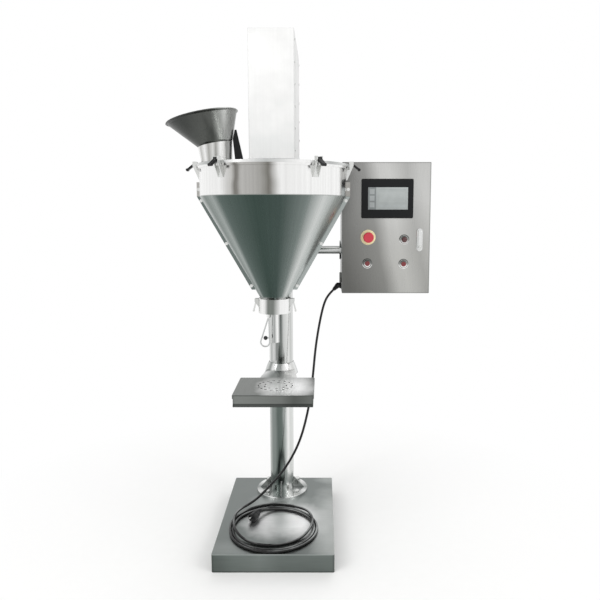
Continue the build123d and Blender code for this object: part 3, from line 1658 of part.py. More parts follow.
# Door of the box: a folded pan with cut-outs for the panel, the controls and the lock
control_places = [start_place, stop_place, lamp_place, estop_place]
hmi_place = (hmi_left + hmi_width / 2, hmi_foot + hmi_height / 2)
lock_pivot_place = (lock_place[0], lock_place[1] + lock_pivot_rise)
with BuildPart() as box_door:
    with BuildSketch(Plane.XZ.offset(-box_front)):
        with Locations((box_mid_x, box_mid_z)):
            RectangleRounded(box_width, box_height, box_corner)
    extrude(amount=-door_depth)
    with BuildSketch(Plane.XZ.offset(-box_front - box_sheet)):
        with Locations((box_mid_x, box_mid_z)):
            Rectangle(box_width - 2 * box_sheet, box_height - 2 * box_sheet)
    extrude(amount=-door_depth, mode=Mode.SUBTRACT)
    with BuildSketch(facing_plane(hmi_place, box_front)):
        Rectangle(hmi_width - 2 * hmi_body_inset, hmi_height - 2 * hmi_body_inset)
    extrude(amount=-box_sheet, mode=Mode.SUBTRACT)
    for place in control_places:
        with BuildSketch(facing_plane(place, box_front)):
            Circle(control_hole_radius)
        extrude(amount=-box_sheet, mode=Mode.SUBTRACT)
    with BuildSketch(facing_plane(lock_pivot_place, box_front)):
        Circle(lock_hub_radius + control_side_gap)
    extrude(amount=-box_sheet, mode=Mode.SUBTRACT)
    for level in hinge_levels:
        with BuildSketch(Plane.XY.offset(level)):
            with Locations((hinge_x, hinge_y)):
                Circle(hinge_radius)
            with Locations((hinge_x, box_front + door_depth)):
                Rectangle(hinge_offset + box_sheet, hinge_leaf, align=(Align.MIN, Align.MAX))
        extrude(amount=hinge_height / 2)
        with BuildSketch(Plane.XY.offset(level)):
            with Locations((hinge_x, hinge_y)):
                Circle(hinge_pin_dia / 2 + hinge_pin_gap)
        extrude(amount=hinge_height / 2, mode=Mode.SUBTRACT)

box_door.part.label = "box_door"
export_step(box_door.part, "parts/box_door.step")


# Oval plate and hub of the swing handle lock
cam_front = shell_front + box_sheet + lock_cam_gap
with BuildPart() as lock_housing:
    with BuildSketch(facing_plane(lock_place, box_front)):
        SlotOverall(lock_height, lock_width, rotation=90)
    extrude(amount=lock_plate_depth)
    chamfer(lock_housing.faces().sort_by(Axis.Y)[0].edges(), lock_plate_depth * edge_share)
    with BuildSketch(facing_plane(lock_pivot_place, box_front)):
        Circle(lock_hub_radius)
    extrude(amount=box_front + running_gap - cam_front)
    with BuildSketch(facing_plane(lock_pivot_place, box_front - lock_plate_depth)):
        Circle(lock_spindle_radius + pin_gap)
    extrude(amount=box_front - lock_plate_depth - cam_front, mode=Mode.SUBTRACT)

lock_housing.part.label = "lock_housing"
export_step(lock_housing.part, "parts/lock_housing.step")


# Handle of the lock, with its spindle and the cam behind the lip
handle_face = box_front - lock_plate_depth - lock_stand
with BuildPart() as lock_handle:
    with BuildSketch(facing_plane(lock_place, handle_face)):
        SlotOverall(lock_height - 2 * lock_handle_margin, lock_handle_width, rotation=90)
    extrude(amount=lock_handle_depth)
    fillet(lock_handle.faces().sort_by(Axis.Y)[0].edges(), lock_handle_depth * edge_share)
    with BuildSketch(facing_plane(lock_pivot_place, handle_face)):
        Circle(lock_spindle_radius)
    extrude(amount=handle_face - cam_front)
    with BuildSketch(facing_plane(lock_pivot_place, cam_front)):
        Circle(lock_cam_width / 2)
        Rectangle(lock_cam_width, lock_cam_length, align=(Align.CENTER, Align.MAX))
    extrude(amount=-lock_cam_thickness)

lock_handle.part.label = "lock_handle"
export_step(lock_handle.part, "parts/lock_handle.step")


# Touch panel: bezel in front of the door, body behind it
screen_place = (
    hmi_left + screen_left + screen_width / 2,
    hmi_foot + screen_foot + screen_height / 2,
)
with BuildPart() as hmi_panel:
    with BuildSketch(facing_plane(hmi_place, box_front)):
        RectangleRounded(hmi_width, hmi_height, hmi_corner)
    extrude(amount=hmi_depth)
    chamfer(hmi_panel.faces().sort_by(Axis.Y)[0].edges(), hmi_bevel)
    with BuildSketch(facing_plane(hmi_place, box_front)):
        Rectangle(
            hmi_width - 2 * hmi_body_inset - 2 * control_side_gap,
            hmi_height - 2 * hmi_body_inset - 2 * control_side_gap,
        )
    extrude(amount=-hmi_body_depth)
    with BuildSketch(facing_plane(screen_place, box_front - hmi_depth)):
        Rectangle(screen_width + 2 * screen_side_gap, screen_height + 2 * screen_side_gap)
    extrude(amount=-screen_recess, mode=Mode.SUBTRACT)

hmi_panel.part.label = "hmi_panel"
export_step(hmi_panel.part, "parts/hmi_panel.step")


# Glass of the touch panel, in its recess
with BuildPart() as hmi_screen:
    with BuildSketch(facing_plane(screen_place, box_front - hmi_depth + screen_recess)):
        Rectangle(screen_width, screen_height)
    extrude(amount=screen_thickness)

hmi_screen.part.label = "hmi_screen"
export_step(hmi_screen.part, "parts/hmi_screen.step")


# Stop disc with its collar and the switch body behind the door
estop_front = box_front - estop_ring_depth - estop_collar_depth
stem_bore_depth = estop_stem_depth - estop_head_gap + estop_travel + slide_gap
with BuildPart() as estop_ring:
    with BuildSketch(facing_plane(estop_place, box_front)):
        Circle(estop_ring_radius)
    extrude(amount=estop_ring_depth)
    chamfer(estop_ring.faces().sort_by(Axis.Y)[0].edges(), estop_bevel)
    with BuildSketch(facing_plane(estop_place, box_front)):
        Circle(estop_collar_radius)
    extrude(amount=box_front - estop_front)
    with BuildSketch(facing_plane(estop_place, box_front)):
        Circle(control_body_radius)
    extrude(amount=-control_body_depth)
    with BuildSketch(facing_plane(estop_place, estop_front)):
        Circle(estop_stem_radius + control_side_gap)
    extrude(amount=-stem_bore_depth, mode=Mode.SUBTRACT)

estop_ring.part.label = "estop_ring"
export_step(estop_ring.part, "parts/estop_ring.step")


# Mushroom head of the stop, with its stem
with BuildPart() as estop_head:
    with BuildSketch(facing_plane(estop_place, estop_front - estop_head_gap)):
        Circle(estop_head_radius)
    extrude(amount=estop_head_depth)
    fillet(estop_head.faces().sort_by(Axis.Y)[0].edges(), estop_head_fillet)
    with BuildSketch(facing_plane(estop_place, estop_front - estop_head_gap)):
        Circle(estop_stem_radius)
    extrude(amount=-estop_stem_depth)

estop_head.part.label = "estop_head"
export_step(estop_head.part, "parts/estop_head.step")


# Bright bezels of the two buttons and the lamp; the buttons' have the switch body behind
bezel_front = box_front - bezel_depth
button_bore_depth = button_depth - button_stand + button_travel + slide_gap
with BuildPart() as button_bezels:
    for place in (start_place, stop_place):
        with BuildSketch(facing_plane(place, box_front)):
            Circle(bezel_radius)
        extrude(amount=bezel_depth, taper=degrees(atan2(bezel_bevel, bezel_depth)))
        with BuildSketch(facing_plane(place, box_front)):
            Circle(control_body_radius)
        extrude(amount=-control_body_depth)
        with BuildSketch(facing_plane(place, bezel_front)):
            Circle(button_radius + control_side_gap)
        extrude(amount=-button_bore_depth, mode=Mode.SUBTRACT)
    with BuildSketch(facing_plane(lamp_place, box_front)):
        Circle(bezel_radius)
    extrude(amount=bezel_depth, taper=degrees(atan2(bezel_bevel, bezel_depth)))
    with BuildSketch(facing_plane(lamp_place, box_front)):
        Circle(lamp_radius)
    extrude(amount=bezel_depth, mode=Mode.SUBTRACT)

button_bezels.part.label = "button_bezels"
export_step(button_bezels.part, "parts/button_bezels.step")


# Round push buttons
for name, place in (("start", start_place), ("stop", stop_place)):
    with BuildPart() as push_button:
        with BuildSketch(facing_plane(place, bezel_front - button_stand)):
            Circle(button_radius)
        extrude(amount=-button_depth)
        fillet(push_button.faces().sort_by(Axis.Y)[0].edges(), button_dome)
    push_button.part.label = f"{name}_button"
    export_step(push_button.part, f"parts/{name}_button.step")


# Signal lamp with its dome and its body behind the door
with BuildPart() as signal_lamp:
    with BuildSketch(facing_plane(lamp_place, bezel_front - lamp_rise)):
        Circle(lamp_radius)
    extrude(amount=-lamp_rise - bezel_depth - control_body_depth)
    fillet(signal_lamp.faces().sort_by(Axis.Y)[0].edges(), lamp_fillet)

signal_lamp.part.label = "signal_lamp"
export_step(signal_lamp.part, "parts/signal_lamp.step")


# Elbow cable gland on the box's left side, with its tapered sleeve
gland_exit_plane = Plane(
    origin=(box_left - gland_length, gland_set_back, gland_level),
    x_dir=(0, 1, 0),
    z_dir=Vector(-1, 0, 0).rotate(Axis.Y, -gland_elbow_angle),
)
with BuildPart() as cable_gland:
    with BuildSketch(Plane.YZ.offset(box_left)):
        with Locations((gland_set_back, gland_level)):
            RegularPolygon(gland_nut_across / 2, 6, major_radius=False)
    extrude(amount=-gland_nut_thickness)
    with BuildSketch(Plane.YZ.offset(box_left)):
        with Locations((gland_set_back, gland_level)):
            Circle(gland_radius)
    extrude(amount=-gland_length - gland_elbow_lap)
    with BuildSketch(gland_exit_plane.offset(-gland_elbow_lap)):
        Circle(gland_radius)
    extrude(amount=gland_elbow_lap + gland_elbow_length)
    with BuildSketch(gland_exit_plane.offset(gland_elbow_length)):
        Circle(gland_relief_root_radius)
    with BuildSketch(gland_exit_plane.offset(gland_elbow_length + gland_relief_length)):
        Circle(gland_relief_radius)
    loft()

cable_gland.part.label = "cable_gland"
export_step(cable_gland.part, "parts/cable_gland.step")


# Power cord from the gland down to the coil on the base: straight runs joined by large arcs
cord_points = [Vector(*point) for point in cord_route]
cord_runs = [b - a for a, b in zip(cord_points, cord_points[1:])]
cord_radii = [
    cord_bend_share * min(a.length, b.length) / tan(radians(a.get_angle(b)) / 2)
    for a, b in zip(cord_runs, cord_runs[1:])
]
print("cord bend radii", [round(radius) for radius in cord_radii])
with BuildPart() as power_cord:
    with BuildLine() as cord_path:
        FilletPolyline(*cord_points, radius=cord_radii)
    cord_wire = cord_path.wires()[0]
    with BuildSketch(Plane(origin=cord_wire @ 0, z_dir=cord_wire % 0)):
        Circle(cord_dia / 2)
    sweep()
print("cord tube length", round(cord_wire.length), "mm")

power_cord.part.label = "power_cord"
export_step(power_cord.part, "parts/power_cord.step")


# Coil of the rest of the cord, lying on the base, as the ring that its turns fill
with BuildPart() as cord_coil:
    with BuildSketch(Plane.XY.offset(base_height)):
        with Locations(coil_centre):
            Circle(coil_outer_radius)
            Circle(coil_inner_radius, mode=Mode.SUBTRACT)
    extrude(amount=coil_height)
    fillet(cord_coil.edges(), coil_edge)

cord_coil.part.label = "cord_coil"
export_step(cord_coil.part, "parts/cord_coil.step")


# Plug on the cord's end, lying on the base inside the coil
plug_outward = Vector(1, 0, 0).rotate(Axis.Z, plug_angle)
plug_direction = (-plug_outward).rotate(Axis.Z, plug_turn)
plug_level = base_height + plug_floor_gap + plug_radius
plug_start = (
    Vector(coil_centre[0], coil_centre[1], plug_level)
    + plug_outward * coil_inner_radius
    - plug_direction * plug_sink
)
relief_plane = Plane(origin=plug_start, x_dir=(0, 0, 1), z_dir=plug_direction)
plug_plane = relief_plane.offset(plug_sink + plug_relief_length)
with BuildPart() as power_plug:
    with BuildSketch(relief_plane):
        Circle(plug_relief_radius)
    extrude(amount=plug_sink + plug_relief_length)
    with BuildSketch(plug_plane):
        Circle(plug_radius)
    extrude(amount=plug_length)
    plug_front = power_plug.faces().filter_by(GeomType.PLANE).sort_by(SortBy.AREA)[-1]
    fillet(plug_front.edges(), plug_front_fillet)
    with BuildSketch(plug_plane.offset(plug_length)):
        with GridLocations(0, pin_spread, 1, 2):
            Rectangle(pin_width, pin_thickness)
    extrude(amount=pin_length)

power_plug.part.label = "power_plug"
export_step(power_plug.part, "parts/power_plug.step")
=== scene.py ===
from math import cos, pi, radians, sin

import bmesh
import bpy
from mathutils import Matrix, Vector


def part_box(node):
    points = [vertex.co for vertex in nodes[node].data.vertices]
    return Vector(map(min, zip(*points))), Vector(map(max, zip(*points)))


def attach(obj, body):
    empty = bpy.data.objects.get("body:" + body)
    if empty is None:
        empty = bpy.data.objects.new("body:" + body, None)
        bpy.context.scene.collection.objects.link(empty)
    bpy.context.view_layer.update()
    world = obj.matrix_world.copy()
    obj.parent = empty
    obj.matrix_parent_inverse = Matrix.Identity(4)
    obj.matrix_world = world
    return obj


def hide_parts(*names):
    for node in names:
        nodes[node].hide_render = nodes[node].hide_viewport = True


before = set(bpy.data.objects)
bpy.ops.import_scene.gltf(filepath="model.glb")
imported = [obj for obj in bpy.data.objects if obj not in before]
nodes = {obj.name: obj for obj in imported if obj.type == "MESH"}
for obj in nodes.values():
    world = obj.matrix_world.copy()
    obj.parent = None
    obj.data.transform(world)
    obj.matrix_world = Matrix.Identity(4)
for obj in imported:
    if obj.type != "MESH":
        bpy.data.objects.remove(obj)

scene = bpy.context.scene
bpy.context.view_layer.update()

# upright axes (x, y) of the hopper, the column and the lid's stub
FRONT = (0.0, 0.0)
COLUMN = (0.0, 0.320)
STUB = (-0.2, 0.0)


# ---------------------------------------------------------------- camera and lights
def link(name, data):
    made = bpy.data.objects.new(name, data)
    scene.collection.objects.link(made)
    return made


camera = link("camera", bpy.data.cameras.new("camera"))
camera.location = (0.1722, -2.1634, 1.2380)
camera.rotation_euler = (radians(83.0), 0.0, 0.0)
camera.data.sensor_width = 36.0
camera.data.lens = 36.54
camera.data.shift_x = -0.0377
camera.data.shift_y = -0.0204
scene.camera = camera
scene.view_settings.view_transform = "Standard"


def area_light(name, place, target, size, power, mirrored=False):
    """A soft box; only the narrow strips are seen in the polished steel."""
    lamp = link(name, bpy.data.lights.new(name, "AREA"))
    lamp.data.shape = "RECTANGLE"
    lamp.data.size, lamp.data.size_y = size
    lamp.data.energy = power
    lamp.visible_glossy = mirrored
    lamp.location = place
    lamp.rotation_euler = (Vector(target) - Vector(place)).to_track_quat("-Z", "Y").to_euler()


area_light("key", (-3.0, -3.4, 3.8), (0.0, 0.0, 0.9), (4.2, 4.2), 95.0)
area_light("fill", (3.8, -2.6, 2.6), (0.1, 0.0, 0.9), (3.6, 4.0), 55.0)
area_light("rear", (0.8, 4.2, 3.2), (0.0, 0.2, 0.9), (4.0, 3.0), 55.0)
area_light("left_strip", (-2.6, -2.2, 2.9), (0.0, 0.0, 0.6), (0.35, 1.6), 11.0, True)
area_light("right_strip", (2.7, -1.6, 2.7), (0.0, 0.0, 0.6), (0.30, 1.4), 8.0, True)


# ---------------------------------------------------------------- shader helpers
GLARE = "f3f3f2"  # the lightest painted reflection on polished steel


def channels(code):
    """The three channels of a written colour such as "6b7570", from 0 to 255."""
    return [int(code[i : i + 2], 16) for i in (0, 2, 4)]


def tone(code):
    """A written colour as linear RGBA."""
    parts = [value / 255 for value in channels(code)]
    return tuple(c / 12.92 if c <= 0.04045 else ((c + 0.055) / 1.055) ** 2.4 for c in parts) + (1.0,)


def between(dark, light, share):
    """The written colour at a share of the way from dark to light."""
    return "".join(f"{round(d + (l - d) * share):02x}" for d, l in zip(channels(dark), channels(light)))


class Nodes:
    """A node tree; each of its helpers adds nodes and gives the output that they end in."""

    def __init__(self, tree):
        self.tree = tree

    def put(self, socket, value):
        """Links an output to an input, or sets the input to a plain value."""
        if isinstance(value, bpy.types.NodeSocket):
            self.tree.links.new(value, socket)
        elif value is not None:
            socket.default_value = value

    def add(self, kind, *values, **settings):
        """A node with its inputs given in order."""
        made = self.tree.nodes.new("ShaderNode" + kind)
        for key, value in settings.items():
            setattr(made, key, value)
        for socket, value in zip(made.inputs, values):
            self.put(socket, value)
        return made.outputs[0] if made.outputs else made

    def math(self, operation, *values):
        return self.add("Math", *values, operation=operation)

    def spread(self, value, low, high, to_low=0.0, to_high=1.0):
        """Brings the range from low to high to the range from to_low to to_high, and stays in it."""
        return self.add("MapRange", value, low, high, to_low, to_high)

    def drift(self, value, to_low, to_high):
        """Brings a soft noise to the range from to_low to to_high."""
        return self.spread(value, 0.3, 0.7, to_low, to_high)

    def split(self, vector):
        """The X, Y and Z of a vector."""
        made = self.tree.nodes.new("ShaderNodeSeparateXYZ")
        self.put(made.inputs[0], vector)
        return made.outputs

    def distance(self, vector, point):
        made = self.tree.nodes.new("ShaderNodeVectorMath")
        made.operation = "DISTANCE"
        self.put(made.inputs[0], vector)
        self.put(made.inputs[1], point)
        return made.outputs["Value"]

    def blend(self, factor, first, second, how="MIX"):
        made = self.tree.nodes.new("ShaderNodeMix")
        made.data_type, made.blend_type = "RGBA", how
        for index, value in ((0, factor), (6, first), (7, second)):
            self.put(made.inputs[index], value)
        return made.outputs[2]

    def times(self, colour, level):
        return self.blend(1.0, colour, level, "MULTIPLY")

    def ramp(self, value, *stops):
        """A colour ramp; each stop is a place from 0 to 1 and a written colour."""
        made = self.tree.nodes.new("ShaderNodeValToRGB")
        self.put(made.inputs[0], value)
        points = made.color_ramp.elements
        while len(points) < len(stops):
            points.new(0.5)
        for point, (place, _) in zip(points, sorted(stops)):
            point.position = place
        for point, (_, code) in zip(points, sorted(stops)):
            point.color = tone(code)
        return made.outputs[0]

    def streaks(self, turn, shade, stops):
        """Painted reflections as streaks round an axis: each stop is an angle from the front and its glare in per
        cent.
        """
        return self.ramp(turn, *(
            (0.5 + angle / 360.0, between(shade, GLARE, glare / 100.0)) for angle, glare in stops))

    def noise(self, vector, scale, detail=2.0, rough=0.5):
        made = self.tree.nodes.new("ShaderNodeTexNoise")
        for name, value in (("Vector", vector), ("Scale", scale), ("Detail", detail), ("Roughness", rough)):
            self.put(made.inputs[name], value)
        return made.outputs[0]

    def stretch(self, vector, scales):
        made = self.tree.nodes.new("ShaderNodeMapping")
        self.put(made.inputs["Vector"], vector)
        self.put(made.inputs["Scale"], scales)
        return made.outputs[0]


class Look(Nodes):
    """A material in the making, with the coordinates that its patterns use."""

    def __init__(self, name, metallic, roughness):
        self.material = bpy.data.materials.new(name)
        self.material.use_nodes = True
        super().__init__(self.material.node_tree)
        self.shader = self.tree.nodes["Principled BSDF"]
        self.set("Metallic", metallic)
        self.set("Roughness", roughness)
        coordinates = self.tree.nodes.new("ShaderNodeTexCoord").outputs
        self.place, self.normal = coordinates["Object"], coordinates["Normal"]
        self.colour = self.level = self.turn = None

    def set(self, name, value):
        self.put(self.shader.inputs[name], value)

    def paint(self, colour, level=None):
        """Gives the surface a colour, which a level makes lighter and darker in places."""
        self.colour = colour if level is None else self.times(colour, level)
        self.set("Base Color", self.colour)

    def bump(self, height, strength, distance=0.0003):
        made = self.tree.nodes.new("ShaderNodeBump")
        for name, value in (("Strength", strength), ("Distance", distance), ("Height", height)):
            self.put(made.inputs[name], value)
        self.set("Normal", made.outputs[0])

    def turn_round(self, centre):
        """0 to 1 round an upright axis, 0.5 at the front and rising to the right."""
        x, y, _ = self.split(self.place)
        across = self.math("SUBTRACT", x, centre[0])
        ahead = self.math("SUBTRACT", centre[1], y)
        return self.spread(self.math("ARCTAN2", across, ahead), -pi, pi)

    def facing_up(self, low, high):
        """0 where the surface looks up by less than low, 1 where by more than high."""
        return self.spread(self.split(self.normal)[2], low, high)


# ---------------------------------------------------------------- painted reflections on the polished steel, as streaks
# each table: the darkest tone, then broad bands, as angles in degrees from the front with their glare in per cent
BARREL_BANDS = "56534c", (
    (-180, 85), (-130, 55), (-115, 95), (-95, 40), (-65, 100), (-35, 95), (-25, 65), (-22, 10), (-19, 60),
    (-5, 50), (2, 20), (10, 95), (65, 100), (90, 40), (180, 85),
)
CONE_BANDS = "3d4b46", (
    (-180, 15), (-120, 50), (-90, 30), (-70, 50), (-60, 20), (-48, 50), (-40, 15), (-10, 0), (10, 5), (30, 30),
    (45, 75), (60, 60), (80, 65), (100, 20), (120, 45), (180, 15),
)
NECK_BANDS = "6c706e", ((-180, 65), (-70, 20), (-30, 90), (5, 0), (30, 85), (80, 40), (180, 65))
COLUMN_LOWER = "5d6662", (
    (-180, 60), (-150, 80), (-95, 10), (-60, 55), (-45, 25), (-30, 25), (-15, 0), (5, 5), (25, 65), (35, 95),
    (50, 80), (80, 85), (90, 20), (140, 85), (180, 60),
)
COLUMN_UPPER = "6e7370", (
    (-180, 55), (-140, 85), (-110, 35), (-70, 90), (-50, 50), (-25, 65), (-5, 10), (5, 0), (15, 65), (40, 85),
    (60, 60), (70, 90), (90, 25), (140, 75), (180, 55),
)
TUBE_BANDS = "6c706e", (
    (-180, 60), (-130, 90), (-90, 25), (-60, 70), (-20, 65), (0, 35), (30, 100), (50, 90), (65, 40), (90, 0),
    (130, 80), (180, 60),
)
NOZZLE_BANDS = "6c706e", (
    (-180, 55), (-130, 85), (-90, 25), (-35, 75), (0, 65), (30, 20), (90, 0), (130, 65), (180, 55),
)
COLLAR_BANDS = "747874", (
    (-180, 70), (-130, 90), (-90, 55), (-45, 100), (-35, 95), (-20, 5), (0, 5), (25, 95), (55, 100), (90, 60),
    (130, 80), (180, 70),
)
CAP_BANDS = "8a8e8c", (
    (-180, 65), (-120, 90), (-90, 25), (-65, 60), (-45, 0), (-30, 90), (-10, 10), (0, 15), (20, 95), (40, 95),
    (55, 70), (70, 85), (90, 35), (130, 90), (180, 65),
)
STUB_BANDS = "9d9d99", (
    (-180, 60), (-120, 90), (-90, 25), (-65, 95), (-50, 35), (-30, 95), (-15, 10), (0, 70), (10, 5), (25, 100),
    (45, 50), (60, 100), (120, 30), (180, 60),
)
BRIGHT_BANDS = "8a8e8c", (
    (-180, 65), (-120, 90), (-90, 0), (-65, 70), (-40, 25), (-20, 100), (0, 50), (25, 100), (50, 40), (70, 80),
    (90, 0), (130, 90), (180, 65),
)


# ---------------------------------------------------------------- materials
def brushed(name, grain, rough=0.34, change=0.10, cloud=0.10, metallic=1.0, line=0.25, code=None):
    """Brushed sheet: fine lines along the axis with the small grain number, and soft clouds."""
    look = Look(name, metallic, rough)
    fine = look.noise(look.stretch(look.place, grain), 1.0, 3.0, 0.65)
    lines = look.spread(fine, 0.25, 0.75, 1.0 - change, 1.0 + change)
    clouds = look.drift(look.noise(look.place, 4.0), 1.0 - cloud, 1.0 + cloud)
    look.level = look.math("MULTIPLY", lines, clouds)
    look.set("Roughness", look.spread(fine, 0.2, 0.8, rough - 0.07, rough + 0.09))
    look.bump(fine, line, 0.0004)
    if code:
        look.paint(tone(code), look.level)
    return look


def polished(name, centre, bands, rough, change, lines):
    """Polished round sheet: upright streaks of painted reflection round its axis, with fine upright lines."""
    look = Look(name, 1.0, rough)
    look.turn, look.height = look.turn_round(centre), look.split(look.place)[2]
    wrapped = look.add(
        "CombineXYZ", look.math("MULTIPLY", look.turn, lines), 0.0, look.math("MULTIPLY", look.height, 0.9))
    fine = look.noise(wrapped, 1.0, 3.0, 0.6)
    bent = look.math("ADD", look.turn, look.drift(look.noise(look.place, 7.0), -0.006, 0.006))
    look.level = look.spread(fine, 0.25, 0.75, 1.0 - change, 1.0 + change)
    # the streaks are painted reflections round the axis
    look.paint(look.streaks(bent, *bands), look.level)
    look.set("Roughness", look.spread(fine, 0.2, 0.8, rough - 0.05, rough + 0.07))
    return look


def moulded(name, code, rough=0.4, grain=900.0, strength=0.2, coat=0.0, gloss=0.5):
    """Moulded plastic, rubber or paint: a fine skin and a slight change of tone."""
    look = Look(name, 0.0, rough)
    soft = look.noise(look.place, 18.0, 3.0)
    look.paint(tone(code), look.drift(soft, 0.88, 1.12))
    look.set("Roughness", look.drift(soft, rough - 0.05, rough + 0.07))
    look.set("Coat Weight", coat)
    look.set("Specular IOR Level", gloss)
    look.bump(look.noise(look.place, grain), strength)
    return look


BARREL_FOOT = 1.2948  # where the barrel meets the cone
CONE_FOOT = (0.934, 0.946)  # where the cone runs into the neck
SEAM_HALF = 0.0085  # half the thickness of the two side flanges at y = 0 and their edges


def hopper_steel():
    """Barrel, cone and neck of the hopper: upright streaks of painted reflection, darker where the cone looks
    down.
    """
    look = polished("hopper_steel_look", FRONT, BARREL_BANDS, 0.16, 0.07, 150.0)
    barrel = look.colour
    x, y, _ = look.split(look.place)
    cloud = look.drift(look.noise(look.stretch(look.place, (3.0, 3.0, 1.2)), 1.6), 0.92, 1.08)
    # the cone's streaks are painted reflections, darker than the barrel's
    cone = look.times(look.streaks(look.turn, *CONE_BANDS), look.math("MULTIPLY", look.level, cloud))
    seam = look.math("LESS_THAN", look.math("ABSOLUTE", y), SEAM_HALF)
    # the side flanges get painted shade on the left and a painted highlight on the right
    flange_light_and_shade = look.blend(look.math("GREATER_THAN", x, 0.0), tone("6a7370"), tone("a6acaa"))
    cone = look.blend(look.math("MULTIPLY", seam, 0.85), cone, flange_light_and_shade)
    neck = look.streaks(look.turn, *NECK_BANDS)
    lower = look.blend(look.spread(look.height, *CONE_FOOT), neck, cone)
    colour = look.blend(look.math("GREATER_THAN", look.height, BARREL_FOOT), lower, barrel)
    weld = look.math("COMPARE", look.height, BARREL_FOOT + 0.0007, 0.0014)
    look.paint(look.blend(look.math("MULTIPLY", weld, 0.6), colour, tone("858a87")))
    mirror = look.spread(look.level, 0.93, 1.07, 0.12, 0.22)
    satin = look.math("MULTIPLY", look.math("LESS_THAN", look.height, BARREL_FOOT), 0.12)
    look.set("Roughness", look.math("ADD", mirror, satin))
    return look


ALONG_X = (9.0, 300.0, 300.0)
ALONG_Y = (300.0, 9.0, 300.0)


def folded_sheet(name, grain, top_code, rim_code, side_bands, light_patches, half, low, high):
    """Brushed box of sheet: a top with soft pools of painted light, sides painted darker as shade with painted
    shade at their corners and foot, and a rim line along their top, a painted highlight when rim_code is light
    and painted shade when it is dark.

    half is half its width, low and high are its levels; a patch is centre, radii, tone and share.
    """
    look = brushed(name, grain, 0.36, 0.08, 0.05)
    x, _, z = look.split(look.place)
    top = tone(top_code)
    # pools of painted light on the top
    for centre, radii, code, share in light_patches:
        shrunk = look.stretch(look.place, tuple(1 / r for r in radii))
        away = look.distance(shrunk, tuple(c / r for c, r in zip(centre, radii)))
        waver = look.drift(look.noise(look.place, 14.0, 3.0), -0.12, 0.12)
        fade = look.spread(look.math("ADD", away, waver), 1.38, 0.42)
        fade = look.math("MULTIPLY", look.math("SMOOTH_MIN", fade, 1.0, 0.3), share)
        top = look.blend(fade, top, tone(code))
    cloud = look.drift(look.noise(look.stretch(look.place, (5.0, 5.0, 1.0)), 1.0), -0.06, 0.06)
    # the sides carry painted bands of shade and reflection from left to right
    side = look.ramp(look.math("ADD", look.spread(x, -half, half), cloud), *side_bands)
    # painted shade at the side corners and along the foot, and the painted rim line along the top
    corner_shade = look.spread(look.math("ABSOLUTE", x), half - 0.010, half - 0.001, 0.0, 0.55)
    foot = look.spread(z, low + 0.006, low + 0.001, 0.0, 0.7)
    rim = look.spread(z, high - 0.0045, high - 0.002, 0.0, 0.6)
    for share, code in ((corner_shade, "3a3e3c"), (foot, "343836"), (rim, rim_code)):
        side = look.blend(share, side, tone(code))
    # the top is painted lighter than the sides: painted light and shade by which way the surface faces
    look.paint(look.blend(look.facing_up(0.3, 0.75), side, top), look.level)
    return look


BOX_SIDES = (0.238, 0.586)  # left and right of the control box
BOX_LEVELS = (0.92, 1.44)  # range of the fall of light over its height
BOX_MIDDLE = 1.16
BOX_LEAN = 0.18  # its bands of light lean by this much to the left on their way up
DOOR_MARGIN = 0.009  # the door's left edge stands this far inside the box of its node


def box_steel():
    """Brushed stainless of the control box: painted light and shade, darker left and lighter right, with darker
    edges.
    """
    look = brushed("box_steel_look", (420.0, 420.0, 12.0), 0.30, 0.035, 0.05, line=0.12)
    low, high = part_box("box_door")
    x, _, z = look.split(look.place)
    lean = look.math("MULTIPLY", look.math("SUBTRACT", z, BOX_MIDDLE), BOX_LEAN)
    waver = look.drift(look.noise(look.place, 5.0), -0.008, 0.008)
    place = look.math("ADD", look.math("ADD", x, lean), waver)
    # painted bands of light and shade across the box, leaning as they rise
    across = look.ramp(
        look.spread(place, *BOX_SIDES), (0.0, "727270"), (0.25, "8c8c8a"), (0.4, "969694"), (0.55, "c8c8c6"),
        (0.65, "ccccca"), (0.85, "b4b4b2"), (1.0, "c4c4c2"),
    )
    # painted fall of light over the box's height
    fall = look.ramp(look.spread(z, *BOX_LEVELS), (0.0, "e2e2e0"), (0.3, "efefed"), (0.7, "ffffff"))
    colour = look.times(across, fall)
    for axis, start, stop in ((x, low.x + DOOR_MARGIN, high.x), (z, low.z, high.z)):
        out = look.math("ABSOLUTE", look.math("SUBTRACT", axis, (start + stop) / 2))
        half = (stop - start) / 2
        colour = look.blend(look.spread(out, half - 0.005, half - 0.0015, 0.0, 0.6), colour, tone("6f706e"))
    look.paint(colour, look.level)
    return look


COVER_HALF = 0.0775  # half the cover's width


def cover_sheet():
    """Pale sheet of the motor cover, with faint clouds and slightly darker edges."""
    look = brushed("cover_sheet_look", (160.0, 160.0, 4.0), 0.42, 0.02, 0.03, 0.15, 0.05)
    soft = look.ramp(look.noise(look.place, 9.0, 3.0), (0.35, "dfe0df"), (0.5, "e5e5e4"), (0.65, "ebebea"))
    side = look.math("ABSOLUTE", look.split(look.place)[0])
    rim = look.spread(side, COVER_HALF - 0.004, COVER_HALF, 0.0, 0.35)
    look.paint(look.blend(rim, soft, tone("b9bab9")), look.level)
    return look


# plain fields of the screen: left, right, bottom and top in shares of it, and tone
SCREEN_FIELDS = (
    (0.0, 0.20, 0.0, 1.0, "666c6d"), (0.04, 0.16, 0.70, 0.92, "a9aeae"), (0.04, 0.16, 0.40, 0.62, "a9aeae"),
    (0.04, 0.16, 0.10, 0.32, "a9aeae"), (0.26, 0.94, 0.86, 0.93, "9ca2a2"), (0.26, 0.58, 0.10, 0.22, "9da3a3"),
    (0.64, 0.94, 0.10, 0.22, "9da3a3"),
)
SCREEN_TABLE = (0.28, 0.92, 0.32, 0.78)


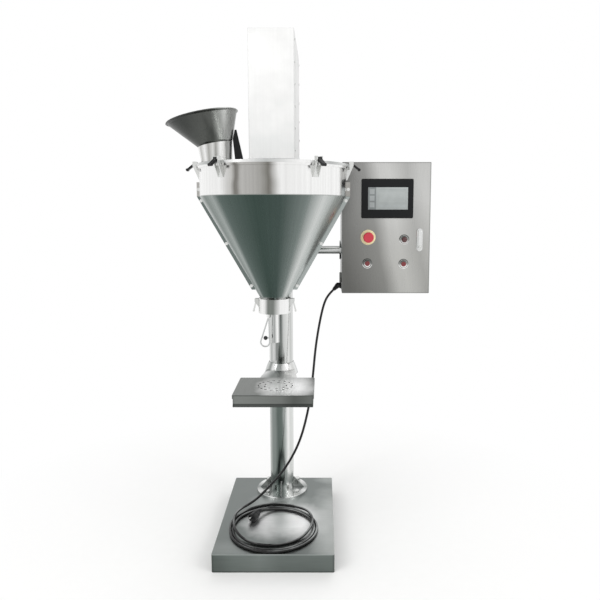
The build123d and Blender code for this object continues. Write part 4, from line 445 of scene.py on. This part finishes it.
def screen_look():
    """Grey screen of the touch panel, with plain fields and fine rows."""
    look = Look("screen_look", 0.0, 0.16)
    low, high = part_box("hmi_screen")
    x, _, z = look.split(look.place)
    across, up = look.spread(x, low.x, high.x), look.spread(z, low.z, high.z)

    def inside(value, start, end):
        return look.math(
            "MULTIPLY", look.math("GREATER_THAN", value, start), look.math("LESS_THAN", value, end))

    def field(left, right, bottom, top):
        return look.math("MULTIPLY", inside(across, left, right), inside(up, bottom, top))

    colour = look.blend(up, tone("979c9b"), tone("a8adac"))
    for *sides, code in SCREEN_FIELDS:
        colour = look.blend(look.math("MULTIPLY", field(*sides), 0.7), colour, tone(code))
    rows = look.math("GREATER_THAN", look.math("FRACT", look.math("MULTIPLY", up, 22.0)), 0.5)
    table = look.math("MULTIPLY", field(*SCREEN_TABLE), look.math("MULTIPLY", rows, 0.16))
    colour = look.blend(table, colour, tone("c9cecd"))
    look.paint(colour, look.drift(look.noise(look.place, 40.0), 0.94, 1.06))
    look.set("Coat Weight", 0.6)
    look.set("Coat Roughness", 0.08)
    return look


def zinc():
    """Zinc-plated sheet with its flaked crystals."""
    look = Look("zinc_look", 1.0, 0.42)
    cells = look.tree.nodes.new("ShaderNodeTexVoronoi")
    look.put(cells.inputs["Scale"], 60.0)
    look.put(cells.inputs["Vector"], look.place)
    away = cells.outputs["Distance"]
    look.paint(look.ramp(away, (0.0, "c9cccb"), (0.5, "b0b4b3"), (1.0, "bfc3c2")))
    look.set("Roughness", look.spread(away, 0.0, 0.8, 0.36, 0.52))
    return look


BEHIND_TRAY = (0.50, 0.64)  # levels between which the column's lower painted reflection streaks turn into its upper ones


def column_steel():
    """Polished column: the part under the tray is in deeper shade than the part above it."""
    look = polished("column_steel_look", COLUMN, COLUMN_LOWER, 0.15, 0.05, 60.0)
    lower = look.colour
    upper = look.times(look.streaks(look.turn, *COLUMN_UPPER), look.level)
    look.paint(look.blend(look.spread(look.height, *BEHIND_TRAY), lower, upper))
    return look


def arm_steel():
    """Polished tube that lies along X: bright above and dark below, as painted highlight and painted shade."""
    look = Look("arm_steel_look", 1.0, 0.18)
    low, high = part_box("arm_tube")
    fine = look.noise(look.stretch(look.place, (6.0, 300.0, 300.0)), 1.0)
    colour = look.ramp(
        look.spread(look.split(look.place)[2], low.z, high.z), (0.0, "2c2e2e"), (0.30, "3a3d3c"),
        (0.38, "8a8d8b"), (0.52, "d5d6d5"), (0.60, "eeeeed"), (0.68, "9a9d9b"), (0.80, "6a6d6c"),
        (1.0, "c5c7c6"),
    )
    look.paint(colour, look.spread(fine, 0.25, 0.75, 0.94, 1.06))
    return look


FUNNEL_SIDES = (-0.37, -0.12)  # left and right of the funnel's rim


def funnel_steel():
    """Dark polished sheet of the funnel, its darkness a painted reflection, with a painted highlight streak on
    its right side.
    """
    look = brushed("funnel_steel_look", (60.0, 60.0, 6.0), 0.30, 0.08, 0.12, line=0.04)
    colour = look.ramp(
        look.spread(look.split(look.place)[0], *FUNNEL_SIDES), (0.0, "3e403f"), (0.35, "444644"),
        (0.7, "5e605d"), (0.8, "9c9e9b"), (0.88, "d8d9d7"), (1.0, "8a8c8a"),
    )
    look.paint(colour, look.level)
    return look


STUB_FOOT = (1.405, 1.412)  # levels between which the lid ends and its stub begins


def lid_steel():
    """Polished lid with painted reflection streaks; its stub has upright painted reflection streaks of its own.
    """
    look = polished("lid_steel_look", FRONT, BRIGHT_BANDS, 0.24, 0.05, 60.0)
    lid = look.colour
    stub = look.times(look.streaks(look.turn_round(STUB), *STUB_BANDS), look.level)
    look.paint(look.blend(look.spread(look.height, *STUB_FOOT), lid, stub))
    return look


LOWER_ROW, UPPER_ROW = 1.043, 1.136  # levels of the buttons' and the lamp's middles
BEZEL_RADIUS = 0.02


def bezel_chrome():
    """Bright rings of the buttons and the lamp: light below and dark above, as painted reflection."""
    look = brushed("bezel_chrome_look", (300.0, 300.0, 300.0), 0.16, 0.04, 0.05, line=0.05)
    z = look.split(look.place)[2]
    is_upper = look.math("GREATER_THAN", z, (LOWER_ROW + UPPER_ROW) / 2)
    middle = look.spread(is_upper, 0.0, 1.0, LOWER_ROW, UPPER_ROW)
    rise = look.spread(look.math("SUBTRACT", z, middle), -BEZEL_RADIUS, BEZEL_RADIUS)
    colour = look.ramp(
        rise, (0.0, "f4f4f3"), (0.36, "eeefee"), (0.52, "9b9d9b"), (0.8, "5c5f5d"), (1.0, "6a6d6b"))
    look.paint(colour, look.level)
    return look


def cord_skin():
    """Black sheath of the cord; where its side looks up, it carries patches of pale painted highlight."""
    look = Look("cord_black_look", 0.0, 0.22)
    patch = look.spread(
        look.noise(look.stretch(look.place, (1.0, 1.0, 0.2)), 8.5, 3.0), 0.42, 0.66, 0.0, 0.95)
    # painted highlight where the side looks up, in patches
    painted_sheen = look.math("MULTIPLY", look.facing_up(0.62, 0.97), patch)
    skin = look.noise(look.place, 260.0)
    dark = look.blend(look.drift(skin, 0.0, 1.0), tone("090909"), tone("0f0f10"))
    look.paint(look.blend(painted_sheen, dark, tone("a0a3a2")))
    look.set("Specular IOR Level", 0.35)
    look.bump(skin, 0.04)
    return look


def bracket_steel():
    """Tray bracket: bright painted reflection streaks run out from the column on its top; its sides are satin,
    painted darker as shade.
    """
    look = polished("bracket_steel_look", COLUMN, CAP_BANDS, 0.48, 0.05, 50.0)
    bright = look.colour
    # the sides: a plain tone, painted darker than the top as shade
    satin = look.times(tone("a6a9a7"), look.level)
    look.paint(look.blend(look.facing_up(0.3, 0.8), satin, bright))
    return look


def handle_steel(ball, radius):
    """Bright rod of the hanging handle with its black ball."""
    look = brushed("handle_steel_look", (200.0, 200.0, 40.0), 0.24, 0.06, 0.06, line=0.1, code="c2c4c3")
    knob = look.math("LESS_THAN", look.distance(look.place, ball), radius)
    look.paint(look.blend(knob, look.colour, tone("141516")))
    look.set("Metallic", look.math("SUBTRACT", 1.0, knob))
    return look


# ---------------------------------------------------------------- looks of the slots and the nodes
# painted bands of shade and reflection across the base's front, from left to right
BASE_FRONT = ((0.0, "5c6360"), (0.12, "6a716e"), (0.36, "7d8481"), (0.6, "6c7370"), (1.0, "6f7673"))
# painted pools of light on the base's top
BASE_LIGHT_PATCHES = (
    ((0.035, 0.040, 0.067), (0.135, 0.120, 0.06), "ffffff", 1.0),
    ((0.205, 0.02, 0.067), (0.07, 0.28, 0.06), "bfc2c0", 0.75),
    ((-0.10, -0.15, 0.067), (0.14, 0.05, 0.06), "949997", 0.6),
    ((0.20, 0.41, 0.067), (0.05, 0.035, 0.06), "b4b8b6", 0.6),
    ((0.0, 0.20, 0.067), (0.10, 0.07, 0.06), "b9bdbb", 0.7),
)
# painted bands of shade and reflection across the tray's front, from left to right
TRAY_FRONT = ((0.0, "7f827f"), (0.4, "787b78"), (0.62, "727572"), (0.78, "5a5d5a"), (1.0, "6a6d6a"))
# a painted pool of light on the tray's top
TRAY_LIGHT_PATCHES = (((0.045, -0.02, 0.61), (0.085, 0.140, 0.05), "ffffff", 1.0),)
BASE_HALF, TRAY_HALF = 0.2135, 0.142  # half widths
BASE_TOP, PAN_TOP = 0.067, 0.62
KNOB_PLACE, KNOB_RADIUS = (-0.0315, -0.026, 0.795), 0.0079  # ball of the hanging handle
pan_low, pan_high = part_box("tray_pan")

looks = {
    # the base's rim tone is a painted highlight along its top edge
    "base_sheet": folded_sheet(
        "base_sheet_look", ALONG_X, "7b807e", "b9bfbc", BASE_FRONT, BASE_LIGHT_PATCHES, BASE_HALF, 0.0, BASE_TOP),
    "base_weight": moulded("base_weight_look", "2c2e2e", 0.6, 300.0, 0.5),
    "column_steel": column_steel(),
    "head_steel": polished("head_steel_look", COLUMN, BRIGHT_BANDS, 0.24, 0.05, 40.0),
    "hopper_steel": hopper_steel(),
    "lid_steel": lid_steel(),
    "funnel_steel": funnel_steel(),
    "stay_black": moulded("stay_black_look", "141617", 0.42, gloss=0.25),
    "fastener_steel": brushed(
        "fastener_steel_look", (220.0, 220.0, 220.0), 0.26, 0.06, 0.06, line=0.15, code="d6d7d5"),
    "lever_black": moulded("lever_black_look", "121314", 0.38, gloss=0.3),
    "tube_steel": polished("tube_steel_look", FRONT, TUBE_BANDS, 0.15, 0.05, 40.0),
    # the tray's rim tone is painted shade along its top edge
    "tray_steel": folded_sheet(
        "tray_steel_look", ALONG_Y, "737673", "3c3f3d", TRAY_FRONT, TRAY_LIGHT_PATCHES, TRAY_HALF, pan_low.z,
        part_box("tray_plate")[1].z),
    "cover_sheet": cover_sheet(),
    "motor_black": moulded("motor_black_look", "222425", 0.45, 400.0),
    "motor_grey": moulded("motor_grey_look", "7d8385", 0.42, 400.0),
    "plate_aluminium": brushed("plate_aluminium_look", (8.0, 240.0, 240.0), 0.38, code="c2c4c4"),
    "bearing_steel": brushed("bearing_steel_look", (200.0, 200.0, 30.0), 0.22, code="b9bbba"),
    "belt_rubber": moulded("belt_rubber_look", "1a1a1a", 0.7, 500.0, 0.5),
    "box_steel": box_steel(),
    "zinc_sheet": zinc(),
    "module_grey": moulded("module_grey_look", "b7bab9", 0.5, 500.0),
    "bezel_black": moulded("bezel_black_look", "191a1b", 0.45, 700.0, 0.1, gloss=0.15),
    "screen_grey": screen_look(),
    "stop_yellow": moulded("stop_yellow_look", "ebdfb4", 0.40),
    "stop_red": moulded("stop_red_look", "c72b3f", 0.3, 700.0, 0.1, 0.3),
    "button_red": moulded("button_red_look", "720c16", 0.25, 700.0, 0.1, 0.6),
    "lamp_red": moulded("lamp_red_look", "470f12", 0.2, 500.0, 0.2, 0.8),
    "bezel_chrome": bezel_chrome(),
    "lock_chrome": brushed(
        "lock_chrome_look", (30.0, 300.0, 300.0), 0.20, 0.04, 0.05, line=0.05, code="dfe0df"),
    "gland_black": moulded("gland_black_look", "0d0e0e", 0.40, 500.0, gloss=0.3),
    "cord_black": cord_skin(),
    "plug_black": moulded("plug_black_look", "0d0e0f", 0.34, 420.0, 0.2, gloss=0.35),
}
own_looks = {
    "arm_tube": arm_steel(),
    "outlet_collar": polished("collar_steel_look", FRONT, COLLAR_BANDS, 0.18, 0.05, 40.0),
    "fill_nozzle": polished("nozzle_steel_look", FRONT, NOZZLE_BANDS, 0.18, 0.05, 40.0),
    "tray_bracket": bracket_steel(),
    # the pan's dark top is painted shade under the plate, and its rim tone painted shade along its top edge
    "tray_pan": folded_sheet(
        "tray_pan_look", ALONG_Y, "262827", "6a6d6a", TRAY_FRONT, (), TRAY_HALF, pan_low.z, PAN_TOP),
    "swing_handle": handle_steel(KNOB_PLACE, KNOB_RADIUS),
}
for cad in nodes.values():
    slot_name = cad.data.materials[0].name.split(".")[0]
    cad.data.materials[0] = looks[slot_name].material
for node_name, look in own_looks.items():
    nodes[node_name].data.materials[0] = look.material


# ---------------------------------------------------------------- mesh helpers
def mesh_piece(name, verts, faces, place=None, smooth=True):
    data = bpy.data.meshes.new(name)
    data.from_pydata([tuple(v) for v in verts], [], faces)
    mesh = bmesh.new()
    mesh.from_mesh(data)
    if place is not None:
        mesh.transform(place)
    bmesh.ops.recalc_face_normals(mesh, faces=mesh.faces)
    mesh.to_mesh(data)
    mesh.free()
    data.shade_smooth() if smooth else data.shade_flat()
    return link(name, data)


def dress(piece, body, slot_name, *replaced):
    piece.data.materials.append(looks[slot_name].material)
    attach(piece, body)
    if replaced:
        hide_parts(*replaced)
    return piece


def skin(rows, sides, closed=False):
    """Faces between neighbouring rows of points; closed joins the last row to the first."""
    faces = []
    for i in range(rows if closed else rows - 1):
        j = (i + 1) % rows
        for k in range(sides):
            n = (k + 1) % sides
            faces.append((i * sides + k, i * sides + n, j * sides + n, j * sides + k))
    return faces


def ends(rows, sides):
    """The two faces that close the first and the last row."""
    last = (rows - 1) * sides
    return [tuple(range(sides))[::-1], tuple(range(last, last + sides))]


def turned(profile, sides, shape=lambda turn, along: 1.0):
    """Points (radius, height) turned round Z; shape scales the radius by turn and height."""
    verts = []
    for radius, along in profile:
        for k in range(sides):
            turn = 2 * pi * k / sides
            r = radius * shape(turn, along)
            verts.append((r * cos(turn), r * sin(turn), along))
    return verts


def lathe(profile, sides, *shape):
    """A turned solid, closed at both ends."""
    return turned(profile, sides, *shape), skin(len(profile), sides) + ends(len(profile), sides)


def ringed(profile, sides):
    """A turned ring, whose profile is a closed line."""
    return turned(profile, sides), skin(len(profile), sides, closed=True)


def join_parts(parts):
    verts, faces = [], []
    for part_verts, part_faces in parts:
        start = len(verts)
        verts += [tuple(v) for v in part_verts]
        faces += [tuple(start + i for i in f) for f in part_faces]
    return verts, faces


def moved(part, matrix):
    return [matrix @ Vector(v) for v in part[0]], part[1]


def pointing(origin, direction):
    """A frame at origin with its Z along direction."""
    return Matrix.Translation(origin) @ Vector(direction).to_track_quat("Z", "Y").to_matrix().to_4x4()


# ---------------------------------------------------------------- power cord, coil and plug
CORD = 0.0095
BASE_LEVEL = 72  # middle of a turn that lies on the base, in mm as all of the route
OVER_LEVEL = 82.3  # middle of a turn that lies over another
route = [
    (216.2, 300, 927.6), (196.4, 300, 907.8), (180, 297, 878), (166.5, 286.5, 828), (153.5, 266, 762),
    (142.5, 240, 690), (134.5, 211, 602), (124, 188, 512), (108, 174, 430), (86, 160, 352), (55, 150, 284),
    (10, 146, 214), (-44, 148, 152), (-88, 150, 106), (-121, 140, 86), (-147, 115, 82.5), (-163, 80, 82),
    (-166.5, 45, 82),
]


def ring(turn, radius, level=BASE_LEVEL, centre=(-9.0, -20.0)):
    return (centre[0] + radius * cos(radians(turn)), centre[1] + radius * sin(radians(turn)), level)


def upper(turn):
    """Level of the upper turn: down on the base in front, over the other turns at the sides."""
    steps = [(180, OVER_LEVEL), (213, OVER_LEVEL), (232, BASE_LEVEL), (322, BASE_LEVEL), (338, OVER_LEVEL),
             (390, OVER_LEVEL), (412, BASE_LEVEL), (560, BASE_LEVEL)]
    for (t0, z0), (t1, z1) in zip(steps, steps[1:]):
        if t0 <= turn <= t1:
            return z0 + (z1 - z0) * (turn - t0) / (t1 - t0)


STEP = 18  # degrees between the points of a turn
for turn in range(190, 500, STEP):  # the upper turn is a little longer than it is wide
    route.append((-14 + 149.5 * cos(radians(turn)), 17 + 156 * sin(radians(turn)), upper(turn)))
route += [ring(152, 178), ring(167, 170.5)]
route += [ring(turn, 162) for turn in range(184, 509, STEP)]
route.append(ring(166, 157))
route += [ring(turn, 151.3) for turn in range(184, 419, STEP)]
route += [ring(76, 151), ring(93, 147, 72.5), ring(107, 139, 77), (-66.5, 99.5, 83.5), (-71.5, 87.5, 84.2)]

cord_data = bpy.data.curves.new("cord", "CURVE")
cord_data.dimensions = "3D"
cord_data.resolution_u = 16
cord_data.bevel_depth = CORD / 2
cord_data.bevel_resolution = 5
cord_data.use_fill_caps = True
spline = cord_data.splines.new("NURBS")
spline.points.add(len(route) - 1)
for point, (x, y, z) in zip(spline.points, route):
    point.co = (x / 1000, y / 1000, z / 1000, 1.0)
spline.order_u = 3
spline.use_endpoint_u = True
cord = dress(link("cord", cord_data), "machine", "cord_black", "power_cord", "cord_coil")

PLUG_FOOT = 0.026  # where the plug's body starts, along it from the end of the cord
RIB_PITCH = 0.0075


def grip(turn, along):
    """Four flattened sides, with finger ribs along the plug's body."""
    flat = 1.0 - 0.07 * (1 - abs(cos(2 * turn)))
    past = along - PLUG_FOOT
    return flat * (1.0 - 0.05 * max(0.0, sin(past * 2 * pi / RIB_PITCH)) * (0.012 < past < 0.036))


PLUG_START = (-0.0674, 0.09665, 0.0842)  # on the cord, a little before its end
plug_turn = radians(245.0)
plug_way = Vector((cos(plug_turn), sin(plug_turn), 0.0))
plug_place = pointing(Vector(PLUG_START), plug_way)
relief_profile = [(0.0046, 0.0)] + [
    (0.0052 + 0.0022 * i / 12 + (0.0009 if i % 2 else -0.0002), 0.0026 + 0.002 * i) for i in range(12)]
body_profile = [
    (0.0078, 0.026), (0.0105, 0.0275), (0.0128, 0.0305), (0.0142, 0.0345), (0.0152, 0.0400), (0.0160, 0.0460),
    (0.0160, 0.0475), (0.0152, 0.0485), (0.0160, 0.0495), (0.0164, 0.0560), (0.0166, 0.0640), (0.0164, 0.0690),
    (0.0154, 0.0712), (0.0140, 0.0720),
]
plug = mesh_piece("plug", *join_parts([lathe(relief_profile, 32), lathe(body_profile, 48, grip)]), plug_place)
dress(plug, "machine", "plug_black", "power_plug")


def blade(width, thick, length, base):
    """A flat pin with a rounded, chamfered end."""
    rows = [(1.0, 0.0), (1.0, 0.55), (1.0, 0.86), (0.82, 0.95), (0.55, 1.0)]
    outline = ((-1, -0.7), (-0.8, -1), (0.8, -1), (1, -0.7), (1, 0.7), (0.8, 1), (-0.8, 1), (-1, 0.7))
    verts = [(sx * share * width / 2, sy * share * thick / 2, base + along * length)
             for share, along in rows for sx, sy in outline]
    return verts, skin(len(rows), len(outline)) + ends(len(rows), len(outline))


pins = join_parts([
    moved(blade(0.0062, 0.0016, 0.0175, 0.0715), Matrix.Translation((0.0, side * 0.0064, 0.0)))
    for side in (1, -1)
])
plug_pins = mesh_piece("plug_pins", *pins, plug_place, smooth=False)
dress(plug_pins, "machine", "fastener_steel")


# ---------------------------------------------------------------- inlet funnel
def rolled_funnel(foot, rim, sheet, bead, sides=96):
    """A sheet funnel between two tilted circles, with a rolled rim and a lapped seam."""
    def point(share, turn, grow, lift):
        found = []
        for centre, radius, tilt in (foot, rim):
            lean = radians(tilt)
            across, up = Vector((cos(lean), 0, sin(lean))), Vector((-sin(lean), 0, cos(lean)))
            around = across * cos(turn) + Vector((0, 1, 0)) * sin(turn)
            found.append(Vector(centre) + around * (radius + grow) + up * lift)
        return found[0].lerp(found[1], share)

    rows = [(share / 14, 0.0, 0.0) for share in range(15)]
    rows += [(1.0, bead * (1 - cos(t)) * 0.9, -bead * sin(t) * 0.9) for t in (pi * k / 8 for k in range(1, 8))]
    rows += [(1.0, bead * 1.6, 0.0), (1.0, bead, bead * 0.9), (1.0, 0.0, bead * 1.1), (1.0, -sheet, 0.0)]
    rows += [(share / 14, -sheet, 0.0) for share in range(13, -1, -1)]
    verts = []
    for share, grow, lift in rows:
        for k in range(sides):
            lap = 0.0008 if 20 <= k <= 22 and grow >= 0.0 else 0.0
            verts.append(point(share, 2 * pi * k / sides, grow + lap, lift))
    return verts, skin(len(rows), sides, closed=True)


FUNNEL_FOOT = ((-0.201, 0.0, 1.474), 0.060, 10.7)  # centre, radius, tilt in degrees
FUNNEL_RIM = ((-0.2455, 0.0, 1.5655), 0.1225, 12.1)
funnel = mesh_piece("funnel", *rolled_funnel(FUNNEL_FOOT, FUNNEL_RIM, 0.002, 0.0022))
dress(funnel, "machine", "funnel_steel", "inlet_funnel")


# ---------------------------------------------------------------- conical cap over the tray's sleeve
CAP_FOOT = 0.5785  # level of the bracket's arms, where the pan lies and the cap stands
cone_line = [(0.0524 + 0.0166 * (i / 12) ** 0.8, 0.0450 - 0.0444 * i / 12) for i in range(13)]
profile = [(0.0498, 0.0474), (0.0504, 0.0484), (0.0514, 0.0480)] + cone_line
profile += [(r - 0.0015, max(h, 0.0010)) for r, h in reversed(cone_line)]
cap = mesh_piece("sleeve_cap", *ringed(profile, 96), Matrix.Translation((*COLUMN, CAP_FOOT)))
dress(cap, "tray", "head_steel")
cap.data.materials[0] = polished("cap_steel_look", COLUMN, CAP_BANDS, 0.18, 0.05, 50.0).material


# ---------------------------------------------------------------- folded hem under the catch pan
# across the hem: inwards from the pan's edge, and up from its underside
HEM = [(0.0, 0.0015), (0.0, -0.0075), (0.0012, -0.0088), (0.0040, -0.0088), (0.0048, -0.0080),
       (0.0040, -0.0074), (0.0016, -0.0072), (0.0016, 0.0015)]
back = pan_high.y - 0.004
hem_verts = []
for x, y, inward, ahead in ((pan_low.x, back, 1, 0), (pan_low.x, pan_low.y, 1, 1),
                            (pan_high.x, pan_low.y, -1, 1), (pan_high.x, back, -1, 0)):
    hem_verts += [(x + inward * depth, y + ahead * depth, pan_low.z + rise) for depth, rise in HEM]
pan_hem = mesh_piece("pan_hem", hem_verts, skin(4, len(HEM)) + ends(4, len(HEM)), smooth=False)
dress(pan_hem, "tray", "tray_steel")


# ---------------------------------------------------------------- small hardware
RECESS = [(0, 1, 5, 4), (1, 2, 6, 5), (2, 3, 7, 6), (3, 0, 4, 7), (4, 5, 6, 7)]  # walls and floor


def recess(half_x, half_y, top, floor_x, floor_y, bottom):
    """A slot that narrows from its mouth at top to its floor at bottom."""
    verts = []
    for a, b, level in ((half_x, half_y, top), (floor_x, floor_y, bottom)):
        verts += [(-a, -b, level), (a, -b, level), (a, b, level), (-a, b, level)]
    return verts, RECESS


def screw_head(radius, height):
    """Pan head with a cross recess."""
    dome = lathe([(radius, 0.0), (radius, height * 0.35), (radius * 0.94, height * 0.7),
                  (radius * 0.78, height * 0.94), (radius * 0.62, height)], 28)
    cross = []
    for a, b in ((radius * 0.12, radius * 0.55), (radius * 0.55, radius * 0.12)):
        cross.append(recess(a, b, height * 1.02, a * 0.6, b * 0.6, height * 0.45))
    return join_parts([dome] + cross)


SCREW_MARGIN, SCREW_PITCH, SCREWS_APART = 0.030, 0.073, 0.370
cover_low, cover_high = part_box("motor_cover")
heads = []
for side, face in ((-1, cover_low.x), (1, cover_high.x)):
    for row in range(6):
        for back in (SCREW_MARGIN, SCREW_MARGIN + SCREWS_APART):
            place_at = (face, cover_low.y + back, cover_low.z + SCREW_MARGIN + SCREW_PITCH * row)
            heads.append(moved(screw_head(0.0042, 0.0022), pointing(place_at, (side, 0, 0))))
cover_screws = mesh_piece("cover_screws", *join_parts(heads))
dress(cover_screws, "machine", "fastener_steel")

OUT_OF_DOOR = (0, -1, 0)
DOOR_FACE = 0.189
BUTTON_PLACES = ((0.345, 1.044), (0.485, 1.042), (0.4866, 1.136))  # x and z on the door
RING_PROFILE = [(0.0165, 0.0), (0.0195, 0.0), (0.0198, 0.0008), (0.0192, 0.0022), (0.0182, 0.0030),
                (0.0172, 0.0030), (0.0165, 0.0022)]
rings = [moved(ringed(RING_PROFILE, 56), pointing((x, DOOR_FACE, z), OUT_OF_DOOR)) for x, z in BUTTON_PLACES]
button_rings = mesh_piece("button_rings", *join_parts(rings))
dress(button_rings, "door", "bezel_chrome")

KEY_LEVEL = 1.108
lock_low, lock_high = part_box("lock_handle")
core_place = pointing(((lock_low.x + lock_high.x) / 2, lock_low.y, KEY_LEVEL), OUT_OF_DOOR)
key_core = lathe([(0.0062, 0.0), (0.0062, 0.0016), (0.0056, 0.0024), (0.0046, 0.0026), (0.0040, 0.0020)], 36)
key_slot = recess(0.0008, 0.0028, 0.0022, 0.0006, 0.0024, 0.0012)
core = mesh_piece("lock_core", *join_parts([key_core, key_slot]), core_place)
dress(core, "lock", "fastener_steel")

GLAND_WAY = (-1, 0, -1)
GLAND_ELBOW = (0.2346, 0.300, 0.946)
RIB_STEP, RIB_TAPER = 0.0029, 0.00062  # from one rib to the next, along the relief and in radius
ribs = []
for k in range(6):
    radius = 0.0102 - RIB_TAPER * k
    rib = [(radius - 0.0016, 0.0), (radius, 0.0002), (radius + 0.0002, 0.0008), (radius, 0.0014),
           (radius - 0.0016, 0.0016)]
    ribs.append(moved(ringed(rib, 40), Matrix.Translation((0, 0, 0.0022 + RIB_STEP * k))))
relief_root = Vector(GLAND_ELBOW) + Vector(GLAND_WAY).normalized() * 0.006
gland_ribs = mesh_piece("gland_ribs", *join_parts(ribs), pointing(relief_root, GLAND_WAY))
dress(gland_ribs, "machine", "gland_black")


# ---------------------------------------------------------------- floor and background
WHITE = (1.0, 1.0, 1.0, 1.0)
floor = mesh_piece(
    "floor", [(-30, -30, 0), (30, -30, 0), (30, 30, 0), (-30, 30, 0)], [(0, 1, 2, 3)], smooth=False)
floor_look = Look("floor_look", 0.0, 0.9)
floor_look.set("Specular IOR Level", 0.0)
floor_look.paint(tone("f6f6f5"), floor_look.drift(floor_look.noise(floor_look.place, 30.0), 0.99, 1.0))
# away from the object the floor turns into the white background
far = floor_look.spread(floor_look.distance(floor_look.place, (0.0, 0.0, 0.0)), 0.40, 1.5)
glow = floor_look.add("Emission", WHITE, 1.0)
ground = floor_look.add("MixShader", far, floor_look.shader.outputs[0], glow)
floor_look.put(floor_look.tree.nodes["Material Output"].inputs["Surface"], ground)
floor.data.materials.append(floor_look.material)

# white where the camera, metal or glass sees the background, softer as a light on the object
scene.world = bpy.data.worlds.new("studio")
scene.world.use_nodes = True
sky = Nodes(scene.world.node_tree)
sky.tree.nodes.clear()
rays = sky.tree.nodes.new("ShaderNodeLightPath").outputs
seen = sky.math("ADD", rays["Is Camera Ray"], rays["Is Glossy Ray"])
seen = sky.math("MINIMUM", sky.math("ADD", seen, rays["Is Transmission Ray"]), 1.0)
soft_light, white = sky.add("Background", WHITE, 0.72), sky.add("Background", WHITE, 1.0)
sky.add("OutputWorld", sky.add("MixShader", seen, soft_light, white))
